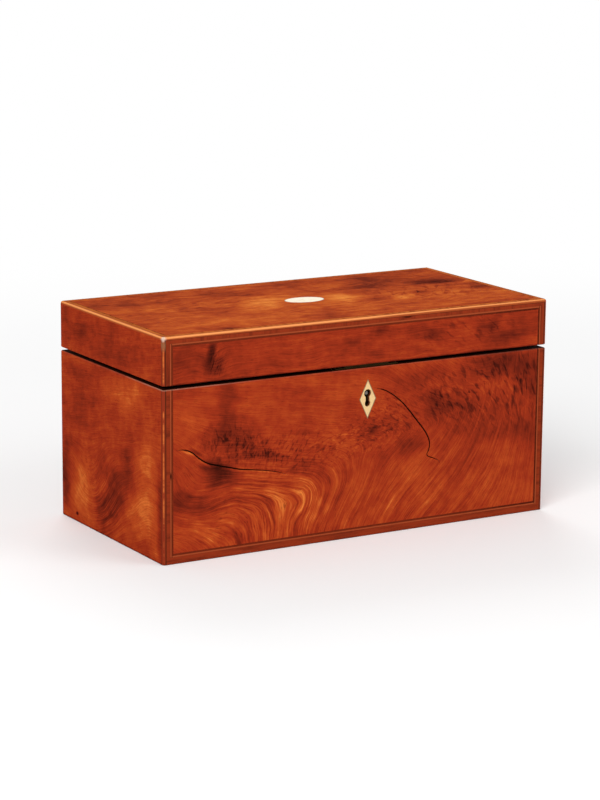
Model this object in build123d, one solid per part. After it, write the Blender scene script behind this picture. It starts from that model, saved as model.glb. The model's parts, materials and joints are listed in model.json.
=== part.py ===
from build123d import *
from math import atan2, cos, degrees, pi
import os

# A mahogany tea caddy of about 1800: a veneered box with a hinged lid, a lock in the front wall,
# two lidded compartments for tea and a glass bowl in the well between them.
# Millimetres. X runs along the front, +Y goes to the back and +Z up. The origin is the middle of
# the underside. The lid is shut at rest.

# The case outside
case_length = 305.0
case_depth = 154.0
body_height = 118.0  # underside to the body's rim
lid_height = 32.6  # lid's rim to its top
corner_round = 2.0  # worn upright corners
top_round = 1.8  # worn edge round the top
foot_round = 0.5
rim_chamfer = 0.5  # along both sides of the seam

# Wood
veneer = 1.0
board = 8.0  # walls of body and lid
bottom_board = 8.0
top_board = 8.0
rebate = 4.0  # how far the bottom and the top are let into the walls

# Dovetails that hold the walls together, under the veneer
tail_pitch = 30.0
pin_width = 7.0  # at the outside of the corner
tail_slope = 1 / 6

# Inlay round the front, framing lid and body as one
corner_string = 2.2  # square boxwood string along the front corners
top_string = 2.0  # square boxwood string round the top
side_band = 3.0  # crossbanding up the sides
foot_band = 4.8  # crossbanding along the foot
head_band = 2.6  # crossbanding under the top edge
light_line = 1.2
dark_line = 1.2

# Inlay on the top
top_band = 3.0
top_line = 0.8
plaque_length = 30.0
plaque_width = 19.6
plaque_x = -0.5

# Butt hinges, with leaves let a little into both rims, so that they set the gap at the seam
hinge_from_end = 57.5  # middle of each hinge from the end of the case
hinge_length = 38.0
hinge_inset = 1.42  # pin from the back of the case; with the chamfer it stops the lid past upright
leaf_width = 6.4
leaf_thickness = 1.6
leaf_letting = 0.4
leaf_gap = 0.05  # from each leaf to the middle of the seam
knuckle_radius = 2.4
knuckle_gap = 0.15
knuckle_count = 3
hinge_pin_radius = 1.2
running_gap = 0.05  # pin in knuckle, peg in hole
knuckle_recess = 0.3  # wood clear of the knuckles

# Screws
screw_head_radius = 1.5
screw_head_height = 0.9
screw_shank_radius = 0.8
screw_sides = 12  # flats round a screw, few because there are many screws
screw_fit = 0.02
hinge_screw_length = 7.0
hinge_screw_spacing = 24.0
lock_screw_length = 6.0
link_screw_length = 6.0

# Lock, let into the front wall from the inside
lock_x = 4.6
lock_plate_half = 25.0
lock_plate_thickness = 1.5
lock_plate_below_key = 13.6
selvedge_width = 7.3
selvedge_proud = 1.1  # above the rim
lock_case_half = 20.0
lock_case_depth = 5.0
lock_case_below_key = 11.6
lock_case_wall = 0.8
key_pin_radius = 1.2
key_pin_reach = 5.5  # from the back plate towards the keyhole
rivet_radius = 0.8
key_drop = 17.9  # key pin below the rim
keyhole_radius = 2.9
keyhole_slot = 3.4
keyhole_foot_radius = 2.3
keyhole_drop = 6.9  # from the pin to the middle of the keyhole's foot

# Bolt and link plate: two staples drop through the selvedge, and the bolt's fingers slide into them
staple_x = 9.0  # each side of the lock's middle
staple_thickness = 2.0
staple_width = 3.4
staple_drop = 8.4  # tip below the rim
staple_eye_height = 3.0
staple_eye_width = 2.2
staple_sill = 1.8  # metal below the eye
staple_slot_gap = 0.6
bolt_travel = 5.0
bolt_thickness = 2.6
bolt_left = 18.6
bolt_right = 13.0
bolt_above_key = 3.6  # lower edge of the bolt over the key pin's cap
bolt_head_gap = 0.6  # under the selvedge
bolt_gap = 0.4  # round staples and fingers
finger_width = 1.8
finger_height = 2.2
talon_radius = 3.2
link_plate_half = 18.0
link_plate_width = 6.6
link_plate_thickness = 1.5
link_proud = 1.1
link_screw_x = 14.5

# Escutcheon
diamond_width = 13.4
diamond_height = 27.8
diamond_below_key = 3.8  # its middle

# Inside
collar_side = 3.0  # wood each side of the bowl's hole
partition = 5.0
housing = 1.5  # partitions run this deep into the walls
cover_drop = 10.0  # covers and collar below the rim
cover_thickness = 6.0
cover_gap = 0.4
cover_round = 0.6
ledge_width = 3.0
ledge_height = 5.0
foil = 0.5
baize = 1.0
lid_lining = 0.8

# Turned knobs on the covers
knob_base_radius = 4.2
knob_base_height = 1.3
knob_neck_radius = 1.9
knob_neck_height = 3.4
knob_head_radius = 4.2
knob_head_height = 6.4  # widest place of the head
knob_crown_radius = 2.4
knob_height = 9.8
knob_peg_radius = 1.5
knob_peg_length = 4.0
knob_sides = 24

# Glass bowl
bowl_height = 103.0
bowl_rim_radius = 46.0
bowl_foot_radius = 31.0
bowl_wall = 3.2
bowl_floor = 9.0
bowl_lip = 0.8  # ground edge round the rim
bowl_corner = 5.0  # inside, between wall and floor
bowl_kick = 2.0  # hollow under the foot
bowl_panels = 12  # flats cut round the outside
bowl_inner_sides = 48
bowl_hole_gap = 1.5  # round the bowl in its collar

# Places worked out from the sizes
half_x = case_length / 2
half_y = case_depth / 2
core_x = half_x - veneer  # outside of the wall boards
core_y = half_y - veneer
inner_x = core_x - board
inner_y = core_y - board
rim = body_height
seam_gap = 2 * (leaf_thickness - leaf_letting)
seam_mid = rim + seam_gap / 2
lid_rim = rim + seam_gap
top = lid_rim + lid_height
core_top = top - veneer
ceiling = core_top - top_board
hinge_x = half_x - hinge_from_end
hinge_y = half_y - hinge_inset
key_height = rim - key_drop
well_x = bowl_rim_radius + bowl_hole_gap + collar_side
compartment_x = well_x + partition  # inner side of each tea compartment
cover_top = rim - cover_drop
cover_floor = cover_top - cover_thickness
ledge_floor = cover_floor - ledge_height
plate_front = -inner_y - lock_plate_thickness
case_front = plate_front - lock_case_depth
staple_y = -inner_y - selvedge_width / 2
staple_tip = rim - staple_drop
eye_floor = staple_tip + staple_sill
bolt_top = rim + selvedge_proud - lock_plate_thickness - bolt_head_gap
bolt_floor = key_height + key_pin_radius + bolt_above_key
plate_floor = key_height - lock_plate_below_key
bowl_z = bottom_board + baize


def block(x, y, z):
    """A box from its two places along each axis."""
    spans = (x, y, z)
    middle = [(a + b) / 2 for a, b in spans]
    return Pos(*middle) * Box(*[abs(b - a) for a, b in spans])


def rod_x(y, z, radius, x0, x1):
    return Pos((x0 + x1) / 2, y, z) * Rot(0, 90, 0) * Cylinder(radius, abs(x1 - x0))


def rod_y(x, z, radius, y0, y1):
    return Pos(x, (y0 + y1) / 2, z) * Rot(90, 0, 0) * Cylinder(radius, abs(y1 - y0))


def rod_z(x, y, radius, z0, z1):
    return Pos(x, y, (z0 + z1) / 2) * Cylinder(radius, abs(z1 - z0))


def prism_y(outline, y0, y1):
    """A prism along Y over an outline of (x, z) points."""
    loop = Polyline([(x, y0, z) for x, z in outline], close=True)
    return extrude(make_face(loop), amount=y1 - y0, dir=(0, 1, 0))


def prism_z(outline, z0, z1):
    """A prism along Z over an outline of (x, y) points."""
    loop = Polyline([(x, y, z0) for x, y in outline], close=True)
    return extrude(make_face(loop), amount=z1 - z0, dir=(0, 0, 1))


def flat_sided(low_radius, high_radius, sides, height):
    """An upright rod with flat sides, its corners at one radius below and another above."""
    lean = atan2(abs(low_radius - high_radius) * cos(pi / sides), height)
    wide = RegularPolygon(max(low_radius, high_radius), sides)
    rod = extrude(wide, amount=height, taper=degrees(lean))
    if high_radius > low_radius:
        return Pos(0, 0, height) * Rot(180, 0, 0) * rod
    return rod


def turned(profile, sides):
    """A turned rod through (radius, height) places, with many narrow flats for its round."""
    steps = zip(profile, profile[1:])
    lengths = [
        Pos(0, 0, z0) * flat_sided(r0, r1, sides, z1 - z0) for (r0, z0), (r1, z1) in steps if z1 > z0
    ]
    return lengths[0] + lengths[1:]


# The two worn outlines that everything outside is cut to


def body_outline():
    shape = block((-half_x, half_x), (-half_y, half_y), (0, rim))
    shape = fillet(shape.edges().filter_by(Axis.Z), corner_round)
    shape = chamfer(shape.faces().sort_by(Axis.Z)[-1].edges(), rim_chamfer)
    return fillet(shape.faces().sort_by(Axis.Z)[0].edges(), foot_round)


def lid_outline():
    shape = block((-half_x, half_x), (-half_y, half_y), (lid_rim, top))
    shape = fillet(shape.edges().filter_by(Axis.Z), corner_round)
    shape = chamfer(shape.faces().sort_by(Axis.Z)[0].edges(), rim_chamfer)
    return fillet(shape.faces().sort_by(Axis.Z)[-1].edges(), top_round)


# Screws, point upwards, with the head's face at z = 0


def screw(length, fit=0.0):
    """A countersunk head and a shank; with a fit, the hole for one."""
    shank_radius = screw_shank_radius + fit
    head = flat_sided(screw_head_radius + fit, shank_radius, screw_sides, screw_head_height)
    shank = flat_sided(shank_radius, shank_radius, screw_sides, length - screw_head_height)
    return head + Pos(0, 0, screw_head_height) * shank


def screw_hole(length):
    return screw(length, screw_fit)


def downward(x, y, z):
    """The place of a screw driven down from (x, y, z)."""
    return Pos(x, y, z) * Rot(180, 0, 0)


def upward(x, y, z):
    return Pos(x, y, z)


def forward(x, y, z):
    """The place of a screw driven towards the front from (x, y, z)."""
    return Pos(x, y, z) * Rot(90, 0, 0)


# Dovetailed walls


def dovetails(side_x, side_y, low, high):
    """The tails of a front or back board at one corner, wider towards their ends."""
    count = max(1, round((high - low) / tail_pitch))
    pitch = (high - low) / count
    end = (pitch - pin_width) / 2
    root = end - tail_slope * board
    tails = []
    for i in range(count):
        z = low + (i + 0.5) * pitch
        outline = [
            (side_x * inner_x, z - root),
            (side_x * core_x, z - end),
            (side_x * core_x, z + end),
            (side_x * inner_x, z + root),
        ]
        tails.append(prism_y(outline, *sorted((side_y * inner_y, side_y * core_y))))
    return tails


def walls(low, high):
    """Front, back, left and right boards between two heights."""
    boards = {}
    tails = {(x, y): dovetails(x, y, low, high) for x in (-1, 1) for y in (-1, 1)}
    for name, side in (("front", -1), ("back", 1)):
        web = block((-inner_x, inner_x), (side * inner_y, side * core_y), (low, high))
        boards[name] = web + tails[-1, side] + tails[1, side]
    for name, side in (("left", -1), ("right", 1)):
        whole = block((side * inner_x, side * core_x), (-core_y, core_y), (low, high))
        boards[name] = whole - tails[side, -1] - tails[side, 1]
    return boards


def case_bottom():
    return block(
        (-inner_x - rebate, inner_x + rebate),
        (-inner_y - rebate, inner_y + rebate),
        (0, bottom_board),
    )


def lid_top():
    return block(
        (-inner_x - rebate, inner_x + rebate),
        (-inner_y - rebate, inner_y + rebate),
        (ceiling, core_top),
    )


# Strings, bands and veneers


def corner_strings(low, high):
    """Square strings up the two front corners."""
    strings = []
    for side in (-1, 1):
        x = (side * half_x, side * (half_x - corner_string))
        strings.append(block(x, (-half_y, -half_y + corner_string), (low, high)))
    return strings


def ring(inset, width, low, high):
    """Four mitred strips round the top, from one inset of the case to the next."""
    strips = []
    x0, y0 = half_x - inset, half_y - inset
    x1, y1 = x0 - width, y0 - width
    for side in (-1, 1):
        along_x = [(-x0, side * y0), (x0, side * y0), (x1, side * y1), (-x1, side * y1)]
        along_y = [(side * x0, -y0), (side * x0, y0), (side * x1, y1), (side * x1, -y1)]
        strips.append(prism_z(along_x, low, high))
        strips.append(prism_z(along_y, low, high))
    return strips


def front_frame(side_inset, side_width, seam, closed, closed_width):
    """Three mitred strips on the front: up both sides from the closed end to the seam."""
    x0 = half_x - side_inset
    x1 = x0 - side_width
    inside = closed + (closed_width if seam > closed else -closed_width)
    across = [(-x0, closed), (x0, closed), (x1, inside), (-x1, inside)]
    strips = [prism_y(across, -half_y, -core_y)]
    for side in (-1, 1):
        upright = [
            (side * x0, closed),
            (side * x1, inside),
            (side * x1, seam),
            (side * x0, seam),
        ]
        strips.append(prism_y(upright, -half_y, -core_y))
    return strips, inside


def front_inlay(seam, closed, closed_band):
    """The band, light line and dark line on the front, and where the panel starts."""
    inset = corner_string
    edge = closed
    strips = {}
    for name, side_width, closed_width in (
        ("crossband", side_band, closed_band),
        ("light_line", light_line, light_line),
        ("dark_line", dark_line, dark_line),
    ):
        strips[name], edge = front_frame(inset, side_width, seam, edge, closed_width)
        inset += side_width
    return strips, half_x - inset, edge


def keyhole(y0, y1):
    foot = key_height - keyhole_drop
    slot = block(
        (lock_x - keyhole_slot / 2, lock_x + keyhole_slot / 2),
        (y0, y1),
        (foot, key_height),
    )
    return (
        rod_y(lock_x, key_height, keyhole_radius, y0, y1)
        + slot
        + rod_y(lock_x, foot, keyhole_foot_radius, y0, y1)
    )


def diamond():
    z = key_height - diamond_below_key
    outline = [
        (lock_x - diamond_width / 2, z),
        (lock_x, z - diamond_height / 2),
        (lock_x + diamond_width / 2, z),
        (lock_x, z + diamond_height / 2),
    ]
    return prism_y(outline, -half_y, -core_y)


def plaque():
    oval = Ellipse(plaque_length / 2, plaque_width / 2)
    return extrude(Pos(plaque_x, 0, core_top) * oval, amount=veneer, dir=(0, 0, 1))


# Hinges


def hinge_screw_places(x):
    y = hinge_y - (knuckle_radius + leaf_width) / 2
    return [(x + side * hinge_screw_spacing / 2, y) for side in (-1, 1)]


def knuckle_spans(x, first):
    """The spans along X of every other knuckle, from the first or the second."""
    pitch = hinge_length / knuckle_count
    start = x - hinge_length / 2
    return [
        (start + i * pitch, start + (i + 1) * pitch) for i in range(first, knuckle_count, 2)
    ]


def hinge_leaf(x, low, high, first):
    """A leaf between two heights, with its own knuckles and room for the other leaf's."""
    span = (x - hinge_length / 2, x + hinge_length / 2)
    leaf = block(span, (hinge_y - leaf_width, hinge_y), (low, high))
    room = knuckle_radius + knuckle_gap
    for a, b in knuckle_spans(x, 1 - first):
        leaf -= rod_x(hinge_y, seam_mid, room, a - knuckle_gap, b + knuckle_gap)
    for a, b in knuckle_spans(x, first):
        leaf += rod_x(hinge_y, seam_mid, knuckle_radius, a + knuckle_gap, b - knuckle_gap)
    bore = hinge_pin_radius + running_gap
    return leaf - rod_x(hinge_y, seam_mid, bore, *span)


def hinge_recess(x):
    """Wood taken away round the knuckles and under both leaves."""
    span = (x - hinge_length / 2 - knuckle_gap, x + hinge_length / 2 + knuckle_gap)
    seat = block(
        (x - hinge_length / 2, x + hinge_length / 2),
        (hinge_y - leaf_width, half_y),
        (rim - leaf_letting, lid_rim + leaf_letting),
    )
    return seat + rod_x(hinge_y, seam_mid, knuckle_radius + knuckle_recess, *span)


def body_leaf(x):
    leaf = hinge_leaf(x, rim - leaf_letting, seam_mid - leaf_gap, 0)
    for sx, sy in hinge_screw_places(x):
        leaf -= downward(sx, sy, seam_mid - leaf_gap) * screw_hole(hinge_screw_length)
    return leaf


def lid_leaf(x):
    leaf = hinge_leaf(x, seam_mid + leaf_gap, lid_rim + leaf_letting, 1)
    for sx, sy in hinge_screw_places(x):
        leaf -= upward(sx, sy, seam_mid + leaf_gap) * screw_hole(hinge_screw_length)
    return leaf


def hinge_pin(x):
    half = hinge_length / 2 - knuckle_gap
    return rod_x(hinge_y, seam_mid, hinge_pin_radius, x - half, x + half)


# Lock

lock_span = (lock_x - lock_plate_half, lock_x + lock_plate_half)
selvedge_y = (-inner_y - selvedge_width, -inner_y)
selvedge_z = (rim + selvedge_proud - lock_plate_thickness, rim + selvedge_proud)
lock_case_x = (lock_x - lock_case_half, lock_x + lock_case_half)
lock_case_z = (key_height - lock_case_below_key, selvedge_z[0])
selvedge_screw_x = (lock_case_half + lock_plate_half) / 2
back_screw_z = plate_floor + 2 * screw_head_radius
back_screw_x = lock_plate_half - 1.5 * screw_head_radius


def lock_screw_places():
    """Two screws down through the selvedge and two forward through the back plate."""
    places = []
    for side in (-1, 1):
        places.append(downward(lock_x + side * selvedge_screw_x, staple_y, selvedge_z[1]))
        places.append(forward(lock_x + side * back_screw_x, -inner_y, back_screw_z))
    return places


def lock_plate():
    """Back plate and selvedge in one, with the slots for the staples."""
    plate = block(lock_span, (plate_front, -inner_y), (plate_floor, selvedge_z[1]))
    plate += block(lock_span, selvedge_y, selvedge_z)
    half_slot_x = staple_thickness / 2 + bolt_gap
    half_slot_y = staple_width / 2 + staple_slot_gap
    for side in (-1, 1):
        x = lock_x + side * staple_x
        plate -= block(
            (x - half_slot_x, x + half_slot_x),
            (staple_y - half_slot_y, staple_y + half_slot_y),
            selvedge_z,
        )
    plate -= rod_y(lock_x, key_height, rivet_radius + screw_fit, plate_front, -inner_y)
    for place in lock_screw_places():
        plate -= place * screw_hole(lock_screw_length)
    return plate


def lock_case():
    """The cap over the works: walls and a front with the keyhole, open to the plate."""
    cap = block(lock_case_x, (case_front, plate_front), lock_case_z)
    works = block(
        (lock_case_x[0] + lock_case_wall, lock_case_x[1] - lock_case_wall),
        (case_front + lock_case_wall, plate_front),
        (lock_case_z[0] + lock_case_wall, lock_case_z[1]),
    )
    return cap - works - keyhole(case_front, case_front + lock_case_wall)


def lock_recess():
    """Wood taken out of the front wall for the lock."""
    plate = block(lock_span, (plate_front, -inner_y), (plate_floor, rim))
    selvedge = block(lock_span, selvedge_y, (selvedge_z[0], rim))
    works = block(lock_case_x, (case_front, -inner_y), (lock_case_z[0], rim))
    return plate + selvedge + works + keyhole(-core_y, case_front)


def key_pin():
    pin = rod_y(lock_x, key_height, key_pin_radius, plate_front - key_pin_reach, plate_front)
    return pin + rod_y(lock_x, key_height, rivet_radius, plate_front, -inner_y)


def lock_bolt():
    """A plate with two open notches; a finger in each slides through a staple's eye."""
    half = bolt_thickness / 2
    bolt = block(
        (lock_x - bolt_left, lock_x + bolt_right),
        (staple_y - half, staple_y + half),
        (bolt_floor, bolt_top),
    )
    finger_length = bolt_travel + bolt_gap + 0.2
    for side in (-1, 1):
        x = lock_x + side * staple_x
        tip = x - staple_thickness / 2 - bolt_gap
        bolt -= block(
            (tip - finger_length, x + staple_thickness / 2 + bolt_gap),
            (staple_y - half, staple_y + half),
            (staple_tip - bolt_gap, bolt_top),
        )
        finger_z = eye_floor + staple_eye_height / 2
        bolt += block(
            (tip - finger_length, tip),
            (staple_y - finger_width / 2, staple_y + finger_width / 2),
            (finger_z - finger_height / 2, finger_z + finger_height / 2),
        )
    return bolt - rod_y(lock_x, bolt_floor, talon_radius, staple_y - half, staple_y + half)


def link_screw_places():
    return [
        upward(lock_x + side * link_screw_x, staple_y, lid_rim - link_proud) for side in (-1, 1)
    ]


def link_plate_blank():
    return block(
        (lock_x - link_plate_half, lock_x + link_plate_half),
        (staple_y - link_plate_width / 2, staple_y + link_plate_width / 2),
        (lid_rim - link_proud, lid_rim - link_proud + link_plate_thickness),
    )


def link_plate():
    """The plate on the lid, with two staples that drop into the lock."""
    plate = link_plate_blank()
    for side in (-1, 1):
        x = lock_x + side * staple_x
        span = (x - staple_thickness / 2, x + staple_thickness / 2)
        plate += block(
            span,
            (staple_y - staple_width / 2, staple_y + staple_width / 2),
            (staple_tip, lid_rim - link_proud),
        )
        plate -= block(
            span,
            (staple_y - staple_eye_width / 2, staple_y + staple_eye_width / 2),
            (eye_floor, eye_floor + staple_eye_height),
        )
    for place in link_screw_places():
        plate -= place * screw_hole(link_screw_length)
    return plate


# Fittings inside


def compartment_span(side):
    """The length along X of a tea compartment, outer wall first."""
    return (side * inner_x, side * compartment_x)


def partition_board(side):
    return block(
        (side * well_x, side * compartment_x),
        (-inner_y - housing, inner_y + housing),
        (bottom_board, cover_top),
    )


def ledge_frame(x):
    """Four fillets round a compartment, under its cover or collar."""
    a, b = sorted(x)
    z = (ledge_floor, cover_floor)
    y_in = inner_y - ledge_width
    return [
        block((a, b), (-inner_y, -y_in), z),
        block((a, b), (y_in, inner_y), z),
        block((a, a + ledge_width), (-y_in, y_in), z),
        block((b - ledge_width, b), (-y_in, y_in), z),
    ]


def foil_lining(side):
    """An open box of thin sheet, from the floor to the ledges."""
    a, b = sorted(compartment_span(side))
    shell = block((a, b), (-inner_y, inner_y), (bottom_board, ledge_floor))
    return shell - block(
        (a + foil, b - foil), (-inner_y + foil, inner_y - foil), (bottom_board + foil, ledge_floor)
    )


def knob_place(side):
    return (side * (inner_x + compartment_x) / 2, 0)


def cover(side):
    a, b = sorted(compartment_span(side))
    lid = block(
        (a + cover_gap, b - cover_gap),
        (-inner_y + cover_gap, inner_y - cover_gap),
        (cover_floor, cover_top),
    )
    lid = chamfer(lid.faces().sort_by(Axis.Z)[-1].edges(), cover_round)
    x, y = knob_place(side)
    return lid - rod_z(x, y, knob_peg_radius + running_gap, cover_top - knob_peg_length, cover_top)


def knob(side):
    """A turned knob: foot, waist, bevelled head and the peg that is glued into the cover."""
    profile = [
        (knob_peg_radius, -knob_peg_length + running_gap),
        (knob_peg_radius, 0),
        (knob_base_radius, 0),
        (knob_base_radius, knob_base_height),
        (knob_neck_radius, knob_neck_height),
        (knob_head_radius, knob_head_height),
        (knob_crown_radius, knob_height),
    ]
    x, y = knob_place(side)
    return Pos(x, y, cover_top) * turned(profile, knob_sides)


def well_collar():
    collar = block((-well_x, well_x), (-inner_y, inner_y), (cover_floor, cover_top))
    return collar - rod_z(0, 0, bowl_rim_radius + bowl_hole_gap, cover_floor, cover_top)


def bowl():
    """A thick tapering glass, cut into flat panels outside and round inside."""
    glass = flat_sided(bowl_foot_radius, bowl_rim_radius, bowl_panels, bowl_height)
    glass = chamfer(glass.faces().sort_by(Axis.Z)[-1].edges(), bowl_lip)
    flats = cos(pi / bowl_panels)
    lean = (bowl_rim_radius - bowl_foot_radius) * flats / bowl_height
    in_top = bowl_rim_radius * flats - bowl_wall
    in_floor = bowl_foot_radius * flats + lean * bowl_floor - bowl_wall
    hollow = [
        (in_floor - bowl_corner, bowl_floor),
        (in_floor, bowl_floor + bowl_corner),
        (in_top, bowl_height),
    ]
    glass -= turned(hollow, bowl_inner_sides)
    kick = bowl_foot_radius * flats - 2 * bowl_wall
    return Pos(0, 0, bowl_z) * (glass - rod_z(0, 0, kick, 0, bowl_kick))


# Assembly of the body

outline_body = body_outline()
outline_lid = lid_outline()
body_inlay, panel_x, panel_foot = front_inlay(rim, 0, foot_band)
lid_inlay, _, panel_head = front_inlay(lid_rim, top - top_string, head_band)
body_strings = corner_strings(0, rim)
lid_strings = corner_strings(lid_rim, top - top_string)
top_strings = ring(0, top_string, top - top_string, top)
hinges_x = {"left": -hinge_x, "right": hinge_x}
sides = {"left": -1, "right": 1}
hinge_recesses = [hinge_recess(x) for x in hinges_x.values()]
nodes = {}


def trim(pieces, outline):
    """Pieces cut to a worn outline, as solids."""
    pieces = pieces if isinstance(pieces, list) else [pieces]
    return [solid for piece in pieces for solid in (piece & outline).solids()]


def body_boards():
    boards = walls(0, rim)
    bottom = case_bottom()
    cuts = {"front": [lock_recess()], "back": list(hinge_recesses), "left": [], "right": []}
    for side in (-1, 1):
        for wall in ("front", "back"):
            cuts[wall].append(partition_board(side))
    for x in hinges_x.values():
        for sx, sy in hinge_screw_places(x):
            hole = downward(sx, sy, seam_mid - leaf_gap) * screw_hole(hinge_screw_length)
            cuts["back"].append(hole)
    cuts["front"] += [place * screw_hole(lock_screw_length) for place in lock_screw_places()]
    for name, shape in boards.items():
        for cut in [bottom, *body_strings, *cuts[name]]:
            shape -= cut
        nodes["body_" + name] = trim(shape, outline_body)
    nodes["bottom_board"] = [bottom]


def body_veneers():
    front = block((-panel_x, panel_x), (-half_y, -core_y), (panel_foot, rim)) - diamond()
    nodes["front_veneer"] = trim(front, outline_body)
    for name, side in sides.items():
        sheet = block(
            (side * half_x, side * core_x), (-half_y + corner_string, half_y), (0, rim)
        )
        nodes[name + "_veneer"] = trim(sheet, outline_body)
    back = block((-core_x, core_x), (core_y, half_y), (0, rim))
    for cut in hinge_recesses:
        back -= cut
    nodes["back_veneer"] = trim(back, outline_body)
    for name, strips in body_inlay.items():
        nodes["front_" + name] = trim(strips, outline_body)
    nodes["front_corner_strings"] = trim(body_strings, outline_body)
    nodes["escutcheon"] = [diamond() - keyhole(-half_y, -core_y)]


def body_lock():
    nodes["lock_plate"] = [lock_plate()]
    nodes["lock_case"] = [lock_case()]
    nodes["lock_key_pin"] = [key_pin()]
    nodes["lock_bolt"] = [lock_bolt()]
    nodes["lock_screws"] = [p * screw(lock_screw_length) for p in lock_screw_places()]


def body_hinges():
    screws = []
    for name, x in hinges_x.items():
        nodes[f"hinge_{name}_body_leaf"] = [body_leaf(x)]
        nodes[f"hinge_{name}_pin"] = [hinge_pin(x)]
        for sx, sy in hinge_screw_places(x):
            screws.append(downward(sx, sy, seam_mid - leaf_gap) * screw(hinge_screw_length))
    nodes["hinge_body_screws"] = screws


def body_fittings():
    ledges = ledge_frame((-well_x, well_x))
    for name, side in sides.items():
        nodes["partition_" + name] = [partition_board(side)]
        nodes["foil_lining_" + name] = [foil_lining(side)]
        nodes["cover_" + name] = [cover(side)]
        nodes["knob_" + name] = [knob(side)]
        ledges += ledge_frame(compartment_span(side))
    nodes["cover_ledges"] = ledges
    nodes["well_collar"] = [well_collar()]
    nodes["well_baize"] = [
        block((-well_x, well_x), (-inner_y, inner_y), (bottom_board, bottom_board + baize))
    ]
    nodes["bowl"] = [bowl()]


# Assembly of the lid


def lid_boards():
    boards = walls(lid_rim, core_top)
    panel = lid_top()
    cuts = {"front": [link_plate_blank()], "back": list(hinge_recesses), "left": [], "right": []}
    cuts["front"] += [place * screw_hole(link_screw_length) for place in link_screw_places()]
    for x in hinges_x.values():
        for sx, sy in hinge_screw_places(x):
            hole = upward(sx, sy, seam_mid + leaf_gap) * screw_hole(hinge_screw_length)
            cuts["back"].append(hole)
    for name, shape in boards.items():
        for cut in [panel, *lid_strings, *top_strings, *cuts[name]]:
            shape -= cut
        nodes["lid_" + name] = trim(shape, outline_lid)
    nodes["lid_top_board"] = [panel]
    nodes["lid_lining"] = [
        block((-inner_x, inner_x), (-inner_y, inner_y), (ceiling - lid_lining, ceiling))
    ]


def lid_veneers():
    front = block((-panel_x, panel_x), (-half_y, -core_y), (lid_rim, panel_head))
    nodes["lid_front_veneer"] = trim(front, outline_lid)
    for name, side in sides.items():
        sheet = block(
            (side * half_x, side * core_x),
            (-half_y + corner_string, half_y),
            (lid_rim, top - top_string),
        )
        nodes[f"lid_{name}_veneer"] = trim(sheet, outline_lid)
    back = block((-core_x, core_x), (core_y, half_y), (lid_rim, top - top_string))
    for cut in hinge_recesses:
        back -= cut
    nodes["lid_back_veneer"] = trim(back, outline_lid)
    for name, strips in lid_inlay.items():
        nodes["lid_front_" + name] = trim(strips, outline_lid)
    nodes["lid_corner_strings"] = trim(lid_strings, outline_lid)
    nodes["lid_top_strings"] = trim(top_strings, outline_lid)
    nodes["lid_top_crossband"] = ring(top_string, top_band, core_top, top)
    nodes["lid_top_dark_line"] = ring(top_string + top_band, top_line, core_top, top)
    inset = top_string + top_band + top_line
    x, y = half_x - inset, half_y - inset
    nodes["lid_top_veneer"] = [block((-x, x), (-y, y), (core_top, top)) - plaque()]
    nodes["lid_plaque"] = [plaque()]


def lid_fittings():
    nodes["link_plate"] = [link_plate()]
    nodes["link_screws"] = [p * screw(link_screw_length) for p in link_screw_places()]
    screws = []
    for name, x in hinges_x.items():
        nodes[f"hinge_{name}_lid_leaf"] = [lid_leaf(x)]
        for sx, sy in hinge_screw_places(x):
            screws.append(upward(sx, sy, seam_mid + leaf_gap) * screw(hinge_screw_length))
    nodes["hinge_lid_screws"] = screws


for make in (
    body_boards,
    body_veneers,
    body_lock,
    body_hinges,
    body_fittings,
    lid_boards,
    lid_veneers,
    lid_fittings,
):
    make()

os.makedirs("parts", exist_ok=True)
for name, solids in nodes.items():
    export_step(Compound(children=solids), f"parts/{name}.step")
print(len(nodes), "nodes")
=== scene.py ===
"""The looks of an antique mahogany tea caddy: veneers, inlay, fittings, glass and baize."""

import json
import math
from functools import reduce
from operator import add

import bmesh
import bpy
from bpy.props import FloatProperty, FloatVectorProperty, IntProperty, PointerProperty
from mathutils import Matrix, Quaternion, Vector

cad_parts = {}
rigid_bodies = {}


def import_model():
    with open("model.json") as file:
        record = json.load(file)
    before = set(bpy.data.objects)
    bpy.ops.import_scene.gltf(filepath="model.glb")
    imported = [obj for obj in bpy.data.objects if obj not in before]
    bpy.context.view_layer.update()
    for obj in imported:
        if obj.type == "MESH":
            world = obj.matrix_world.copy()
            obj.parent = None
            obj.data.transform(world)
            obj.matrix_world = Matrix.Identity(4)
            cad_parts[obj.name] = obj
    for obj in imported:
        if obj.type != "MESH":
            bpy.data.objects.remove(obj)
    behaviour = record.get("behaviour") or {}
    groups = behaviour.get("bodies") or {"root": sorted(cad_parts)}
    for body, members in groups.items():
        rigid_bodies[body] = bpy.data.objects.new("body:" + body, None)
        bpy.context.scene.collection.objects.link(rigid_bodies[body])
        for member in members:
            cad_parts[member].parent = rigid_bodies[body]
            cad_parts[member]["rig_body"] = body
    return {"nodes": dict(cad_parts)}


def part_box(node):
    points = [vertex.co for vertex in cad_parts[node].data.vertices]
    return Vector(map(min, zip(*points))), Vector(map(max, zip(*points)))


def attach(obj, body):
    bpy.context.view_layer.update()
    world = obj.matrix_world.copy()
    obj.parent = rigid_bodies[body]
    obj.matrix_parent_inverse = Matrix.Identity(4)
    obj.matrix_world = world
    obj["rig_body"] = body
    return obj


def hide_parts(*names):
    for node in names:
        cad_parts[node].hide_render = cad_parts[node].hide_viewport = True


bl_info = {
    "name": "Mahogany Tea Caddy",
    "version": (1, 0, 0),
    "blender": (4, 5, 0),
    "location": "3D View > Sidebar > Tea Caddy",
    "description": "Dresses the packed tea caddy in figured veneer, inlay, brass, glass and baize",
    "category": "Object",
}

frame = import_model()

MM = 0.001  # a millimetre in Blender's metres


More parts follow.
